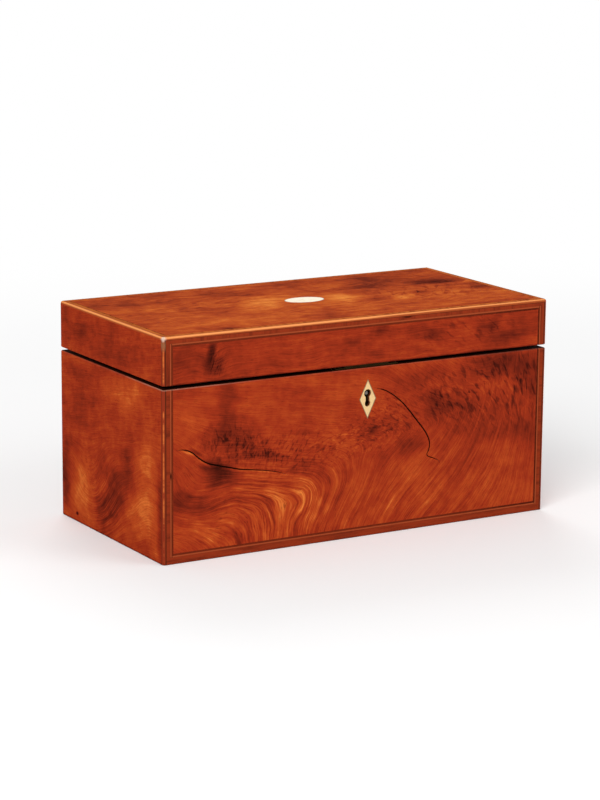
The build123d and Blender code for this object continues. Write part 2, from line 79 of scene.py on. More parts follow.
def linear(red, green, blue):
    """A colour as seen on a screen, 0 to 255, in the light values that shaders use."""
    shares = [c / 255 for c in (red, green, blue)]
    return tuple(c / 12.92 if c <= 0.04045 else ((c + 0.055) / 1.055) ** 2.4 for c in shares)


def span(node, axis):
    """The lowest and highest place of a node of the frame along one axis, in millimetres."""
    low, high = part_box(node)
    return low["xyz".index(axis)] / MM, high["xyz".index(axis)] / MM


def middle(node, axis):
    """The middle of a node of the frame along one axis, in millimetres."""
    return sum(span(node, axis)) / 2


def body_of(node):
    """The moving body that a node of the frame belongs to."""
    return frame["nodes"][node]["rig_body"]


# Settings that a user would change


def colour(name, description, red, green, blue):
    return FloatVectorProperty(
        name=name,
        description=description,
        default=linear(red, green, blue),
        subtype="COLOR",
        size=3,
        min=0.0,
        max=1.0,
    )


def length(name, description, millimetres):
    return FloatProperty(
        name=name,
        description=description,
        default=millimetres * MM,
        unit="LENGTH",
        min=0.0,
        precision=5,
    )


def share(name, description, default):
    return FloatProperty(
        name=name, description=description, default=default, subtype="FACTOR", min=0.0, max=1.0
    )


class WoodSettings(bpy.types.PropertyGroup):
    """Colours and polish of the mahogany"""

    deep: colour("Deep", "Darkest streaks of the figure", 58, 17, 9)
    shade: colour("Shade", "Dark clouds of the figure", 108, 33, 18)
    red: colour("Red", "Usual colour of the veneer", 156, 50, 24)
    warm: colour("Warm", "Light clouds of the figure", 182, 72, 30)
    gold: colour("Gold", "Brightest streaks of the figure", 226, 124, 54)
    # The top's colours are brighter and more golden than the other faces': partly the veneer's own
    # colour, partly painted light from above.
    top_shade: colour("Top shade", "Dark clouds on the top", 112, 40, 24)
    top_red: colour("Top red", "Usual colour of the top", 171, 68, 33)
    top_warm: colour("Top warm", "Light clouds on the top", 200, 96, 41)
    top_gold: colour("Top gold", "Brightest clouds on the top", 232, 138, 62)
    plain: colour("Plain", "Boards and fittings inside", 136, 66, 36)
    plain_dark: colour("Plain dark", "Pores and dark lines inside", 72, 31, 18)
    roughness: share("Roughness", "Roughness of the polish outside", 0.36)


class InlaySettings(bpy.types.PropertyGroup):
    """Colours of the strings, lines and bone"""

    # The top string: a painted highlight along its edge, and its worn colour, with painted shade,
    # elsewhere
    boxwood: colour("Boxwood", "String polished by hands", 238, 152, 88)
    boxwood_worn_and_shaded: colour("Worn boxwood", "Dirty string", 160, 72, 36)
    # Clean string, shown only along the corners' rounded edge as a painted highlight
    corner: colour("Corner", "Clean string up the corners", 200, 106, 48)
    corner_worn: colour("Worn corner", "Dark string up the corners", 136, 48, 26)
    line: colour("Line", "Light line", 160, 70, 38)
    line_worn: colour("Worn line", "Light line where it is dirty", 132, 49, 25)
    ebony: colour("Ebony", "Dark line", 80, 26, 12)
    band: colour("Band", "Crossbanding", 142, 51, 25)
    band_dark: colour("Dark band", "Dark stripes of the crossbanding", 104, 36, 19)
    top_band: colour("Top band", "Crossbanding on the top", 190, 102, 46)
    bone: colour("Bone", "Plaque and knobs", 243, 230, 202)
    bone_aged: colour("Aged bone", "Escutcheon", 232, 196, 140)
    grime: colour("Grime", "Dirt along the edges of an inlay", 60, 30, 16)
    # Colour of the body's edge along the seam: worn wood with a painted highlight
    worn_edge_and_highlight: colour("Worn edge", "Polish rubbed through at the seam", 176, 128, 108)


class FittingSettings(bpy.types.PropertyGroup):
    """Metal, glass and cloth inside the caddy"""

    brass: colour("Brass", "Polished brass", 226, 178, 98)
    brass_tarnish: colour("Tarnish", "Tarnished brass", 122, 84, 42)
    iron: colour("Iron", "Clean iron", 128, 124, 118)
    iron_rust: colour("Rust", "Dark iron", 62, 50, 43)
    foil: colour("Foil", "Lead foil", 150, 150, 148)
    baize: colour("Baize", "Green wool", 38, 84, 58)
    baize_faded: colour("Faded baize", "Worn wool", 78, 112, 74)


class CrackSettings(bpy.types.PropertyGroup):
    """Cracks in the front veneer"""

    width: length("Width", "Widest opening of the cracks", 1.15)


class ScrewSettings(bpy.types.PropertyGroup):
    """Slotted countersunk screws"""

    sides: IntProperty(name="Sides", description="Facets round a head", default=24, min=8)
    slot_width: length("Slot width", "Width of the slot", 0.42)
    slot_depth: length("Slot depth", "Depth of the slot", 0.4)


class KnobSettings(bpy.types.PropertyGroup):
    """Turned bone knobs"""

    sides: IntProperty(name="Sides", description="Facets round a knob", default=48, min=12)


class BowlSettings(bpy.types.PropertyGroup):
    """Glass bowl"""

    panels: IntProperty(name="Panels", description="Flats cut round it", default=12, min=3)
    wall: length("Wall", "Thickness of the glass", 3.2)
    floor: length("Floor", "Thickness of the foot", 9.0)
    arris: length("Arris", "Softness between two flats", 0.8)
    tint: colour("Tint", "Colour of thick glass", 244, 250, 247)


class StageSettings(bpy.types.PropertyGroup):
    """Camera and light"""

    camera_place: FloatVectorProperty(
        name="Camera place",
        description="Where the camera stands",
        default=(-0.93084, -1.5663, 0.47931),
        subtype="TRANSLATION",
        unit="LENGTH",
        size=3,
    )
    camera_aim: FloatVectorProperty(
        name="Camera aim",
        description="What the camera points at",
        default=(-0.00335, 0.0, 0.08152),
        subtype="TRANSLATION",
        unit="LENGTH",
        size=3,
    )
    focal_length: FloatProperty(
        name="Focal length",
        description="Lens of the camera",
        default=119.07,
        unit="CAMERA",
        min=1.0,
    )
    roll: FloatProperty(
        name="Roll",
        description="How far the camera leans to its left",
        default=math.radians(0.48),
        unit="ROTATION",
    )
    ambient: FloatProperty(
        name="Ambient", description="Strength of the light from all sides", default=0.42, min=0.0
    )


class TeaCaddySettings(bpy.types.PropertyGroup):
    """All settings of the tea caddy"""

    wood: PointerProperty(name="Wood", description="Mahogany", type=WoodSettings)
    inlay: PointerProperty(name="Inlay", description="Strings and bone", type=InlaySettings)
    fittings: PointerProperty(name="Fittings", description="Inside", type=FittingSettings)
    cracks: PointerProperty(name="Cracks", description="Front veneer", type=CrackSettings)
    screws: PointerProperty(name="Screws", description="All screws", type=ScrewSettings)
    knobs: PointerProperty(name="Knobs", description="Cover knobs", type=KnobSettings)
    bowl: PointerProperty(name="Bowl", description="Glass bowl", type=BowlSettings)
    stage: PointerProperty(name="Stage", description="Camera and light", type=StageSettings)


# Building a finish from nodes, with all places in millimetres


class Value:
    """A number that varies over a surface: the output of a node, with ordinary arithmetic."""

    def __init__(self, finish, socket):
        self.finish = finish
        self.socket = socket

    def __add__(self, other):
        return self.finish.math("ADD", self, other)

    __radd__ = __add__

    def __sub__(self, other):
        return self.finish.math("SUBTRACT", self, other)

    def __rsub__(self, other):
        return self.finish.math("SUBTRACT", other, self)

    def __mul__(self, other):
        return self.finish.math("MULTIPLY", self, other)

    __rmul__ = __mul__

    def __abs__(self):
        return self.finish.math("ABSOLUTE", self)

    def capped(self):
        """The value where it is below one, and otherwise one."""
        return self.finish.math("MINIMUM", self, 1.0)

    def rise(self, start, end, low=0.0, high=1.0):
        """Goes smoothly from low at start to high at end, and is level beyond."""
        node = self.finish.node("ShaderNodeMapRange", interpolation_type="SMOOTHSTEP")
        for socket, value in zip(node.inputs, (self, start, end, low, high)):
            self.finish.feed(socket, value)
        return Value(self.finish, node.outputs[0])


class Finish:
    """A material being made. Across and up name the two axes of the face that it is made for."""

    def __init__(self, name, across="x", up="z"):
        self.material = bpy.data.materials.new(name)
        self.material.use_nodes = True
        self.tree = self.material.node_tree
        self.shader = self.tree.nodes["Principled BSDF"]
        place = self.node("ShaderNodeTexCoord").outputs["Object"]
        scale = self.node("ShaderNodeVectorMath", operation="SCALE")
        self.feed(scale.inputs[0], place)
        scale.inputs["Scale"].default_value = 1 / MM
        self.place = scale.outputs[0]
        split = self.node("ShaderNodeSeparateXYZ")
        self.feed(split.inputs[0], self.place)
        self.x, self.y, self.z = [Value(self, s) for s in split.outputs]
        self.u = getattr(self, across)
        self.v = getattr(self, up)
        self.flat = self.point(self.u, self.v, 0.0)

    def node(self, kind, **settings):
        node = self.tree.nodes.new(kind)
        for key, value in settings.items():
            setattr(node, key, value)
        return node

    def feed(self, socket, value):
        """Links a value to a socket, or sets the socket to a constant."""
        if isinstance(value, Value):
            value = value.socket
        if isinstance(value, bpy.types.NodeSocket):
            self.tree.links.new(value, socket)
        else:
            socket.default_value = value

    def math(self, operation, *inputs):
        node = self.node("ShaderNodeMath", operation=operation)
        for socket, value in zip(node.inputs, inputs):
            self.feed(socket, value)
        return Value(self, node.outputs[0])

    def point(self, x, y, z):
        node = self.node("ShaderNodeCombineXYZ")
        for socket, value in zip(node.inputs, (x, y, z)):
            self.feed(socket, value)
        return node.outputs[0]

    def turned(self, vector, centre, turn, stretch):
        """A vector seen from a centre, turned by degrees and in units of the stretch."""
        node = self.node("ShaderNodeMapping", vector_type="TEXTURE")
        self.feed(node.inputs["Vector"], vector)
        node.inputs["Location"].default_value = (*centre, 0.0)
        node.inputs["Rotation"].default_value = (0.0, 0.0, math.radians(turn))
        node.inputs["Scale"].default_value = (*stretch, 1.0)
        return node.outputs[0]

    def mound(self, centre, reach, turn=0.0, height=1.0):
        """A smooth rise round a centre on the face, level with the rest beyond its reach."""
        node = self.node("ShaderNodeTexGradient", gradient_type="SPHERICAL")
        self.feed(node.inputs[0], self.turned(self.flat, centre, turn, reach))
        return Value(self, node.outputs["Fac"]).rise(0.0, 1.0, 0.0, height)

    def mounds(self, places):
        """The sum of the mounds in a table."""
        return reduce(add, (self.mound(*place) for place in places))

    def near(self, x, y, z, reach):
        """One at a point of the object, fading to nothing at its reach."""
        node = self.node("ShaderNodeVectorMath", operation="DISTANCE")
        self.feed(node.inputs[0], self.place)
        node.inputs[1].default_value = (x, y, z)
        return Value(self, node.outputs["Value"]).rise(reach, 0.0)

    def noise(self, vector, detail=2.0, roughness=0.5, warp=0.0):
        """Soft irregular hills about one unit apart, from minus a half to a half."""
        node = self.node("ShaderNodeTexNoise")
        self.feed(node.inputs["Vector"], vector)
        for key, value in (
            ("Scale", 1.0),
            ("Detail", detail),
            ("Roughness", roughness),
            ("Distortion", warp),
        ):
            node.inputs[key].default_value = value
        return Value(self, node.outputs["Fac"]) - 0.5

    def grained(self, x, y, z, detail=2.0, roughness=0.5, warp=0.0):
        """Noise through the object, with so many hills in a millimetre along each axis."""
        return self.noise(self.point(self.x * x, self.y * y, self.z * z), detail, roughness, warp)

    def clouds(self, size, seed=0.0, detail=2.0):
        """Noise of one size on the face."""
        return self.noise(self.point(self.u * (1 / size), self.v * (1 / size), seed), detail)

    def dashes(self, centre, reach, stroke_turn, stroke, seed, softness=0.14):
        """Short strokes in one direction, within reach of a centre."""
        vector = self.turned(self.flat, (seed * 50.0, seed * 31.0), stroke_turn, stroke)
        strokes = self.noise(vector, 1.5, 0.6, 0.6).rise(0.02, 0.02 + softness)
        return strokes * self.mound(centre, reach[:2], *reach[2:])

    def mottle(self, places):
        """The sum of the patches of dashes in a table."""
        return reduce(add, (self.dashes(*place) for place in places))

    def ramp(self, value, stops):
        """Colours at places between 0 and 1."""
        node = self.node("ShaderNodeValToRGB")
        self.feed(node.inputs[0], value)
        elements = node.color_ramp.elements
        elements[0].position = stops[0][0]
        elements[1].position = stops[-1][0]
        for position, _ in stops[1:-1]:
            elements.new(position)
        for element, (_, shown) in zip(elements, stops):
            element.color = (*shown, 1.0)
        return node.outputs["Color"]

    def mix(self, first, second, amount):
        """A colour between two others."""
        node = self.node("ShaderNodeMix", data_type="RGBA")
        self.feed(node.inputs["Factor"], amount)
        sockets = [s for s in node.inputs if s.type == "RGBA"]
        for socket, shown in zip(sockets, (first, second)):
            self.feed(socket, shown if isinstance(shown, bpy.types.NodeSocket) else (*shown, 1.0))
        return [s for s in node.outputs if s.type == "RGBA"][0]

    def bump(self, height, depth):
        """Relief: a height from 0 to 1 stands for a depth in millimetres."""
        node = self.node("ShaderNodeBump")
        node.inputs["Strength"].default_value = 1.0
        node.inputs["Distance"].default_value = depth * MM
        self.feed(node.inputs["Height"], height)
        self.feed(self.shader.inputs["Normal"], node.outputs[0])

    def set(self, **inputs):
        """Feeds the shader's sockets, named with underlines for spaces."""
        for key, value in inputs.items():
            self.feed(self.shader.inputs[key.replace("_", " ")], value)
        return self.material


# Figured mahogany


def seam_places():
    """The body's rim and the lid's rim."""
    return span("body_front", "z")[1], span("lid_front", "z")[0]


SEAM_SHADE = linear(52, 23, 13)  # painted shade on the bare wood of the rims inside the seam
WORN_AND_LIT_REACH = 80.0  # how far from the front left corner the seam's edge is lightest, from wear and painted highlight


def with_rim(finish, shown, face, gloss):
    """Sets the gloss and returns the colour: painted shade on the rims inside the seam, with a
    line of worn bare wood and painted highlight along the body's edge near the front left corner.

    The face is the distance inward from the outside of the case, or None for wood within it."""
    rim, lid_rim = seam_places()
    # Painted shade: the rims darken inside the seam, where the gap's shadow falls.
    inside = finish.z.rise(rim - 0.3, rim - 0.05) * finish.z.rise(lid_rim + 0.3, lid_rim + 0.05)
    if face is not None:
        # Wear and a painted highlight lighten the body's edge along the seam, most near the front
        # left corner.
        rubbed = finish.z.rise(rim - 0.8, rim - 0.45) * finish.z.rise(lid_rim, rim)
        uneven = finish.noise(finish.point(finish.x * 0.08, finish.y * 0.08, 3.0), 3.0)
        corner = (span("left_veneer", "x")[0], span("front_veneer", "y")[0], rim)
        strength = finish.near(*corner, WORN_AND_LIT_REACH) * 0.5 + 0.1
        rubbed = rubbed * uneven.rise(-0.22, 0.1, 0.5, 1.0) * strength
        shown = finish.mix(shown, bpy.context.scene.tea_caddy.inlay.worn_edge_and_highlight, rubbed)
        inside = inside * face.rise(0.45, 0.6)
    finish.set(Specular_IOR_Level=gloss)
    return finish.mix(shown, SEAM_SHADE, inside)


def front_depth(finish):
    """How far a place is behind the front of the case."""
    return finish.y - span("front_veneer", "y")[0]


def side_depth(finish):
    """How far a place is inward from the nearer side of the case."""
    return span("right_veneer", "x")[1] - abs(finish.x)


SHADE_PLACES = (0.0, 0.24, 0.5, 0.72, 1.0)  # from the deepest colour to the brightest


def wood_shades(settings):
    """Colours for the shade places, on every face but the top."""
    return settings.deep, settings.shade, settings.red, settings.warm, settings.gold


def mahogany(finish, settings, grain, tone, line_strength, gloss, face, shades=None):
    """Colours a face by its grain: bands, lines and pores follow the level lines of the grain."""
    u, v = finish.u, finish.v
    bands = finish.noise(finish.point(grain * 0.15, u * 0.012, v * 0.012), 3.0)
    lines = finish.noise(finish.point(grain * 0.62, u * 0.025, v * 0.025), 2.0, 0.6)
    threads = finish.noise(finish.point(grain * 2.0, u * 0.06, v * 0.06), 1.0)
    pores = finish.noise(finish.point(grain * 4.6, u * 0.26, v * 0.26), 1.0)
    patches = finish.clouds(30.0, 7.0, 4.0)
    shade = tone + patches * 0.5 + finish.clouds(7.0, 3.0, 3.0) * 0.3
    shade = shade + (bands * 0.85 + lines * 0.85 + threads * 0.6) * line_strength
    shade = shade + threads * 0.16
    shown = finish.ramp(shade, list(zip(SHADE_PLACES, shades or wood_shades(settings))))
    pore = pores.rise(0.08, 0.22, 0.0, 0.45)
    shown = finish.mix(shown, settings.deep, pore)
    shown = with_rim(finish, shown, face, gloss)
    finish.bump(threads * 0.3 + patches * 0.9 - pore * 0.6, 0.05)
    roughness = patches * 0.16 + lines * 0.06 + pore * 0.3 + settings.roughness
    finish.set(Base_Color=shown, Roughness=roughness)
    return shown


CRACK_DIRT_AND_SHADE = linear(34, 14, 7)  # dirt and painted shade inside the cracks

# How much each side mirrors the room. The old polish is dull, and the top, seen almost along its
# surface, would turn white with more.
FRONT_GLOSS = 0.012
SIDE_GLOSS = 0.001
TOP_GLOSS = 0.0001

# The grain is a height over each face, and its lines of equal height are the lines of the wood.
# On the front, two sheets of lines meet in a fold: one runs over from the left, and the other lies
# beside it and falls to the foot. Waves: (middle), (reach), turn, height, which pushes lines down.
FRONT_WAVES = [
    ((-160, 77), (48, 42), 0, -20),
    ((-132, 30), (38, 36), 0, 9),
    ((-101, -3), (46, 40), 0, 22),
    ((92, 112), (86, 72), 0, 34),
]
OVER_SLOPE = 0.13  # how much the lines from the left sink in each millimetre to the right
FOLD_X = -47.0  # where the other lines fall straight down to the foot
FOLD_LEVEL = 53.0  # height of the grain there
FOLD_ROUND = 18.0  # how softly the two sheets meet
FOLD_SLOPE = 0.70  # how much the height changes in each millimetre across the falling lines
FOLD_BEND = 0.19  # this much more to the right of the fold, and less to its left
FOLD_DIP = ((-22, 38), (54, 36), 0, -9)
FAN = ((56, 36), (110, 400), 0, 0.92)  # where the lines lean over to the right
FAN_LEVEL = 30.0  # the place up the front where they keep their height while they lean

# Bright streaks along one line of the front: height of the line, reach, width of the core, light
FOLD_STREAKS = [(54.0, 3.4, 0.6, 0.22), (49.0, 1.2, 0.2, 0.12)]
FOLD_STREAKS_PLACE = ((-48, 32), (24, 34))
RIGHT_STREAK = (65.0, 2.2, 0.3, 0.26)
RIGHT_STREAK_PLACE = ((-26, 38), (20, 26))

# Light and dark clouds on the front: (middle), (reach), turn, height
FRONT_CLOUDS = [
    ((-46, 36), (16, 28), 0, 0.18),
    ((-80, 38), (46, 26), 0, 0.07),
    ((-121, 19), (24, 8), -32, 0.10),
    ((10, 24), (50, 30), 0, 0.06),
    ((62, 20), (64, 22), 10, 0.09),
    ((126, 16), (34, 18), 0, 0.10),
    ((-84, 102), (28, 18), 0, 0.07),
    ((-44, 90), (28, 14), 0, 0.09),
    ((-18, 104), (34, 12), 0, 0.07),
    ((-112, 62), (22, 8), -14, -0.46),
    ((-108, 54), (22, 11), -8, -0.34),
    ((-142, 43), (18, 12), 0, -0.16),
    ((-128, 37), (24, 12), -18, -0.18),
    ((-104, 100), (12, 34), 0, -0.16),
    ((-100, 80), (34, 22), 0, -0.20),
    ((-80, 68), (34, 13), -12, -0.14),
    ((-140, 115), (26, 8), 0, -0.12),
    ((-41, 105), (16, 13), 0, -0.09),
    ((6, 73), (14, 9), 0, -0.18),
    ((22, 77), (26, 13), 0, -0.08),
    ((40, 60), (22, 13), 10, -0.24),
    ((62, 86), (20, 15), -40, -0.32),
    ((84, 86), (26, 18), -40, -0.16),
    ((96, 108), (30, 15), 0, -0.22),
    ((128, 110), (34, 16), 0, -0.24),
    ((140, 94), (18, 28), 0, -0.20),
    ((110, 80), (30, 16), 0, -0.14),
    ((84, 68), (28, 9), 0, -0.13),
    ((136, 61), (22, 20), 0, -0.24),
    ((108, 61), (28, 12), 0, -0.15),
    ((54, 106), (40, 12), 0, -0.09),
    # The next four thin light clouds are a painted highlight along the lower lip of the left
    # crack.
    ((-133, 74), (11, 1.8), -22, 0.3),
    ((-122, 66.4), (9, 1.8), -36, 0.3),
    ((-100, 59.0), (16, 1.6), -13, 0.16),
    ((-72, 53.8), (20, 1.6), -12, 0.14),
    ((-128, 74), (9, 2.4), -34, -0.3),
]

# Short strokes: (middle), (reach, turn and strength of the patch), turn of the strokes,
# (length, width), seed
FRONT_DARK_DASHES = [
    ((-104, 78), (36, 22, 0, 0.24), 104, (5.6, 2.8), 1),
    ((-88, 71), (50, 22, -12, 0.25), 72, (5.6, 2.8), 2),
    ((-56, 66), (52, 24, -8, 0.26), 58, (5.4, 2.6), 17),
    ((-18, 67), (56, 20, 8, 0.22), 20, (5.0, 2.2), 3),
    ((12, 78), (44, 26, 4, 0.24), -20, (4.8, 2.2), 4),
    ((30, 84), (34, 24, -40, 0.22), -42, (5.4, 2.0), 12),
    ((66, 88), (40, 28, -40, 0.27), -54, (8.0, 3.2), 5),
    ((98, 92), (64, 42, -10, 0.28), -56, (9.0, 3.6), 6),
    ((130, 92), (36, 48, 0, 0.28), -74, (12.0, 3.4), 7),
    ((50, 104), (50, 20, -20, 0.10), -38, (14.0, 1.3), 13),
]
FRONT_LIGHT_DASHES = [
    ((100, 88), (66, 40, -10, 0.14), -52, (9.0, 3.2), 14),
    ((0, 72), (70, 26, 4, 0.16), 10, (5.0, 2.4), 15),
    ((-92, 70), (46, 20, -10, 0.14), 70, (4.6, 2.2), 16),
]

# Where the lines stand out: (middle), (reach), turn, height
FRONT_LINES = [
    ((-76, 28), (84, 58), 0, 0.85),
    ((40, 18), (140, 60), 0, 0.32),
    ((100, 50), (60, 50), 0, 0.15),
]


def streak_light(grain, height, reach, core, light):
    """Light along the line of the grain at one height."""
    return abs(grain - height).rise(reach, core, 0.0, light)


def front_finish(settings):
    """The swirl on the front: lines run in from the left, fold over and fan out to the right."""
    finish = Finish("flame_mahogany", "x", "z")
    u, v = finish.u, finish.v
    sway = finish.clouds(46.0, 1.0) * 5.0 + finish.clouds(12.0, 2.0) * 1.2
    over = v + (u + 100) * OVER_SLOPE + finish.mounds(FRONT_WAVES)
    past = u - FOLD_X
    lean = finish.mound(*FAN)
    beside = past * FOLD_SLOPE + abs(past) * FOLD_BEND + FOLD_LEVEL + lean * (FAN_LEVEL - v)
    beside = beside + finish.mound(*FOLD_DIP)
    grain = finish.math("SMOOTH_MAX", over, beside, FOLD_ROUND) + sway
    tone = 0.53 + finish.mounds(FRONT_CLOUDS)
    fold = finish.mound(*FOLD_STREAKS_PLACE)
    for streak in FOLD_STREAKS:
        tone = tone + streak_light(grain, *streak) * fold
    right = finish.mound(*RIGHT_STREAK_PLACE)
    tone = tone + streak_light(grain, *RIGHT_STREAK) * right
    tone = tone - finish.mottle(FRONT_DARK_DASHES) + finish.mottle(FRONT_LIGHT_DASHES)
    strength = finish.mounds(FRONT_LINES) + 0.2
    depth = front_depth(finish)
    shown = mahogany(finish, settings, grain, tone, strength, FRONT_GLOSS, depth)
    rim = seam_places()[0]
    # Dirt and painted shade darken the walls of the cracks.
    in_crack = depth.rise(0.1, 0.35) * finish.z.rise(rim - 0.6, rim - 1.0)
    finish.set(Base_Color=finish.mix(shown, CRACK_DIRT_AND_SHADE, in_crack))
    return finish.material


# Clouds of the other faces, in the same order as the front's
LID_FRONT_CLOUDS = [
    ((-116.5, 139), (5, 16), -8, -0.44),
    ((-112, 130), (7, 9), -14, -0.24),
    ((-120, 131), (6, 9), 12, -0.16),
    ((-133, 136), (22, 24), 0, -0.14),
    ((110, 136), (60, 20), 0, -0.05),
    ((14, 143), (14, 8), 0, -0.26),
    ((-8, 137), (11, 4), 0, -0.14),
    ((56, 136), (24, 8), -14, -0.18),
    ((30, 141), (14, 8), 0, -0.05),
    ((104, 137), (16, 7), 0, -0.22),
    ((128, 130), (22, 12), 0, -0.12),
    ((116, 129), (22, 9), 0, -0.17),
    ((134, 134), (14, 14), 0, -0.10),
    ((12, 126), (10, 5), 0, -0.14),
    ((44, 127), (24, 4), -6, -0.10),
    ((84, 140), (16, 14), 0, 0.09),
    ((34, 148), (20, 6), 0, 0.07),
    ((-20, 126), (40, 5), 0, 0.05),
    ((140, 126), (12, 6), 0, 0.06),
]
LID_FRONT_DASHES = [
    ((-113, 132), (12, 16, 0, 0.26), 70, (5.0, 1.4), 8),
    ((84, 137), (66, 18, 0, 0.20), -34, (9.0, 3.4), 9),
]


def lid_front_finish(settings):
    """Quiet stripes along the lid's front, with a dark knot at the left."""
    finish = Finish("lid_front_mahogany", "x", "z")
    grain = finish.v + finish.clouds(60.0, 4.0) * 14.0 + finish.mound((-116, 134), (14, 20), 0, 4)
    lid_rim = seam_places()[1]
    # Painted shade darkens the lid's front towards the seam below it.
    foot = finish.v.rise(lid_rim + 1.6, lid_rim, 0.0, 0.22)
    tone = 0.475 + finish.mounds(LID_FRONT_CLOUDS) - foot - finish.mottle(LID_FRONT_DASHES)
    mahogany(finish, settings, grain, tone, 0.24, FRONT_GLOSS, front_depth(finish))
    return finish.material


SIDE_CLOUDS = [
    ((-52, 48), (25, 46), 0, 0.32),
    ((-56, 24), (26, 24), 0, 0.06),
    ((-34, 26), (18, 24), 0, 0.14),
    ((-30, 105), (48, 18), 4, 0.15),
    ((-20, 98), (30, 14), -8, 0.09),
    ((-54, 84), (22, 22), 0, 0.05),
    ((42, 22), (22, 30), 0, 0.26),
    ((56, 14), (14, 22), 0, 0.14),
    ((28, 8), (22, 11), 0, 0.12),
    ((-68, 6), (16, 9), 0, 0.16),
    ((-24, 54), (17, 24), 8, -0.22),
    ((-10, 34), (18, 22), 0, -0.24),
    ((-18, 66), (24, 14), 0, -0.12),
    ((4, 44), (26, 14), 0, -0.15),
    ((8, 18), (22, 24), 0, -0.22),
    ((-26, 78), (16, 13), 0, -0.14),
    ((71, 28), (13, 30), 0, -0.29),
    ((68, 52), (16, 10), 0, -0.14),
    ((-73, 50), (9, 22), 0, -0.20),
    ((-74, 20), (8, 40), 0, -0.26),
    ((58, 106), (20, 7), 0, -0.13),
    ((54, 53), (24, 9), 0, -0.10),
    ((12, 90), (38, 10), -6, -0.08),
    ((46, 86), (44, 40), 0, -0.09),
    ((20, 112), (40, 8), 0, -0.05),
    ((0, 136), (90, 26), 0, -0.17),
    ((48, 135), (24, 12), -10, -0.15),
    ((68, 140), (14, 20), 0, -0.14),
    ((-16, 140), (28, 12), -24, 0.11),
    ((-60, 126), (20, 6), 0, 0.05),
]
NAIL = ((52, 6), (2.9, 1.8), 0, 0.9)  # a nail hole near the foot of the left side


def side_finish(settings, name, seed):
    """Wide flames on a side, over faint lines that swoop round the dark heart near the foot."""
    finish = Finish(name, "y", "z")
    dip = finish.mounds([((26, 20), (58, 58), 0, 28), ((-54, 40), (30, 60), 0, -8)])
    grain = finish.v + finish.u * 0.16 + finish.clouds(50.0, seed) * 6.0 + dip
    tone = 0.54 + finish.mounds(SIDE_CLOUDS) + finish.clouds(13.0, seed + 5.0, 3.0) * 0.22
    strength = finish.mound((6, 22), (40, 34), 0, 0.7) + 0.2
    nail = finish.mound(*NAIL) * finish.x.rise(0.0, -1.0)
    # Painted shade darkens the foot, and the back edge is darker too.
    foot = finish.v.rise(1.4, 0.4, 0.0, 0.3)
    back_edge = finish.u.rise(75.4, 76.7, 0.0, 0.22)
    tone = tone - nail - foot - back_edge
    mahogany(finish, settings, grain, tone, strength, SIDE_GLOSS, side_depth(finish))
    return finish.material


def back_finish(settings):
    """Plain straight-grained veneer on the back."""
    finish = Finish("back_mahogany", "x", "z")
    grain = finish.v + finish.clouds(80.0, 12.0) * 22.0
    tone = 0.46 + finish.clouds(60.0, 13.0) * 0.5
    depth = span("back_veneer", "y")[1] - finish.y
    mahogany(finish, settings, grain, tone, 0.6, FRONT_GLOSS, depth)
    return finish.material


TOP_CLOUDS = [
    ((-4, -4), (70, 34), 8, 0.10),
    ((-34, -4), (32, 22), 20, 0.30),
    ((-18, 16), (34, 18), 20, 0.18),
    ((28, -4), (24, 24), 50, 0.36),
    ((18, -24), (24, 16), 0, 0.16),
    ((-44, -18), (26, 18), 0, 0.12),
    ((66, -20), (16, 20), -40, 0.20),
    ((88, 2), (24, 12), 0, 0.06),
    ((-80, -46), (80, 28), 0, 0.18),
    ((60, -60), (80, 16), 0, 0.06),
    ((-104, 64), (16, 12), 0, 0.08),
    ((-64, 58), (22, 18), 0, 0.08),
    ((10, 34), (30, 18), 0, 0.05),
    ((110, -30), (60, 26), 0, 0.14),
    ((62, 22), (34, 13), 0, -0.24),
    ((122, 20), (34, 14), 0, -0.40),
    ((98, 38), (70, 26), 0, -0.15),
    ((82, 54), (14, 24), 0, -0.14),
    ((30, 60), (50, 14), 0, -0.16),
    ((110, 62), (70, 22), 0, -0.12),
    ((-90, 62), (80, 16), 0, -0.16),
    ((-130, 42), (34, 24), 0, -0.12),
    ((-90, 36), (20, 16), 0, -0.06),
    ((-78, -6), (22, 16), 0, -0.12),
    ((50, -20), (12, 16), -50, -0.18),
    ((88, -16), (10, 18), -30, -0.20),
    ((118, -28), (9, 16), -30, -0.20),
    ((142, -8), (12, 26), -30, -0.24),
    ((-26, 44), (24, 16), 0, -0.07),
    ((-22, -58), (56, 9), 0, -0.08),
    ((-100, -70), (11, 8), 0, -0.26),
    ((100, -68), (66, 8), 0, -0.14),
]
TOP_DASHES = [
    ((96, -10), (70, 40, 0, 0.26), 56, (14.0, 4.6), 10),
    ((-60, 10), (90, 60, 0, 0.12), 20, (14.0, 5.0), 11),
]


def top_finish(settings):
    """Golden clouds round the plaque and dark flames towards the back right."""
    finish = Finish("top_mahogany", "x", "y")
    grain = finish.v + finish.clouds(52.0, 21.0) * 34.0 + finish.clouds(16.0, 22.0) * 6.0
    tone = 0.53 + finish.mounds(TOP_CLOUDS) + finish.clouds(14.0, 23.0, 4.0) * 0.32
    tone = tone - finish.mottle(TOP_DASHES)
    shades = settings.deep, settings.top_shade, settings.top_red
    shades += settings.top_warm, settings.top_gold
    mahogany(finish, settings, grain, tone, 0.45, TOP_GLOSS, None, shades)
    return finish.material


# Inlay

CHIP = ((36, 150.4), (5.5, 1.6), 0, 1.6)  # out of the crossbanding of the lid's front
LINE_HALF = 0.6  # half the width of the light line
TOP_LINE = linear(176, 90, 46)  # the line round the top where it is worn
BONE_STREAK = linear(214, 168, 110)
SCUFFED = linear(226, 212, 196)  # string rubbed white at the front left corner of the lid
SCUFF_EDGE = linear(142, 92, 62)
BURN = linear(60, 22, 10)  # a dark spot in the light line at the left


def frame_depth(finish, node):
    """How far a place is inward from the outer edge of a frame that is inlaid in the front."""
    low, high = span(node, "z")
    edge = finish.z - low if node.startswith("front") else high - finish.z
    return finish.math("MINIMUM", span(node, "x")[1] - abs(finish.x), edge)


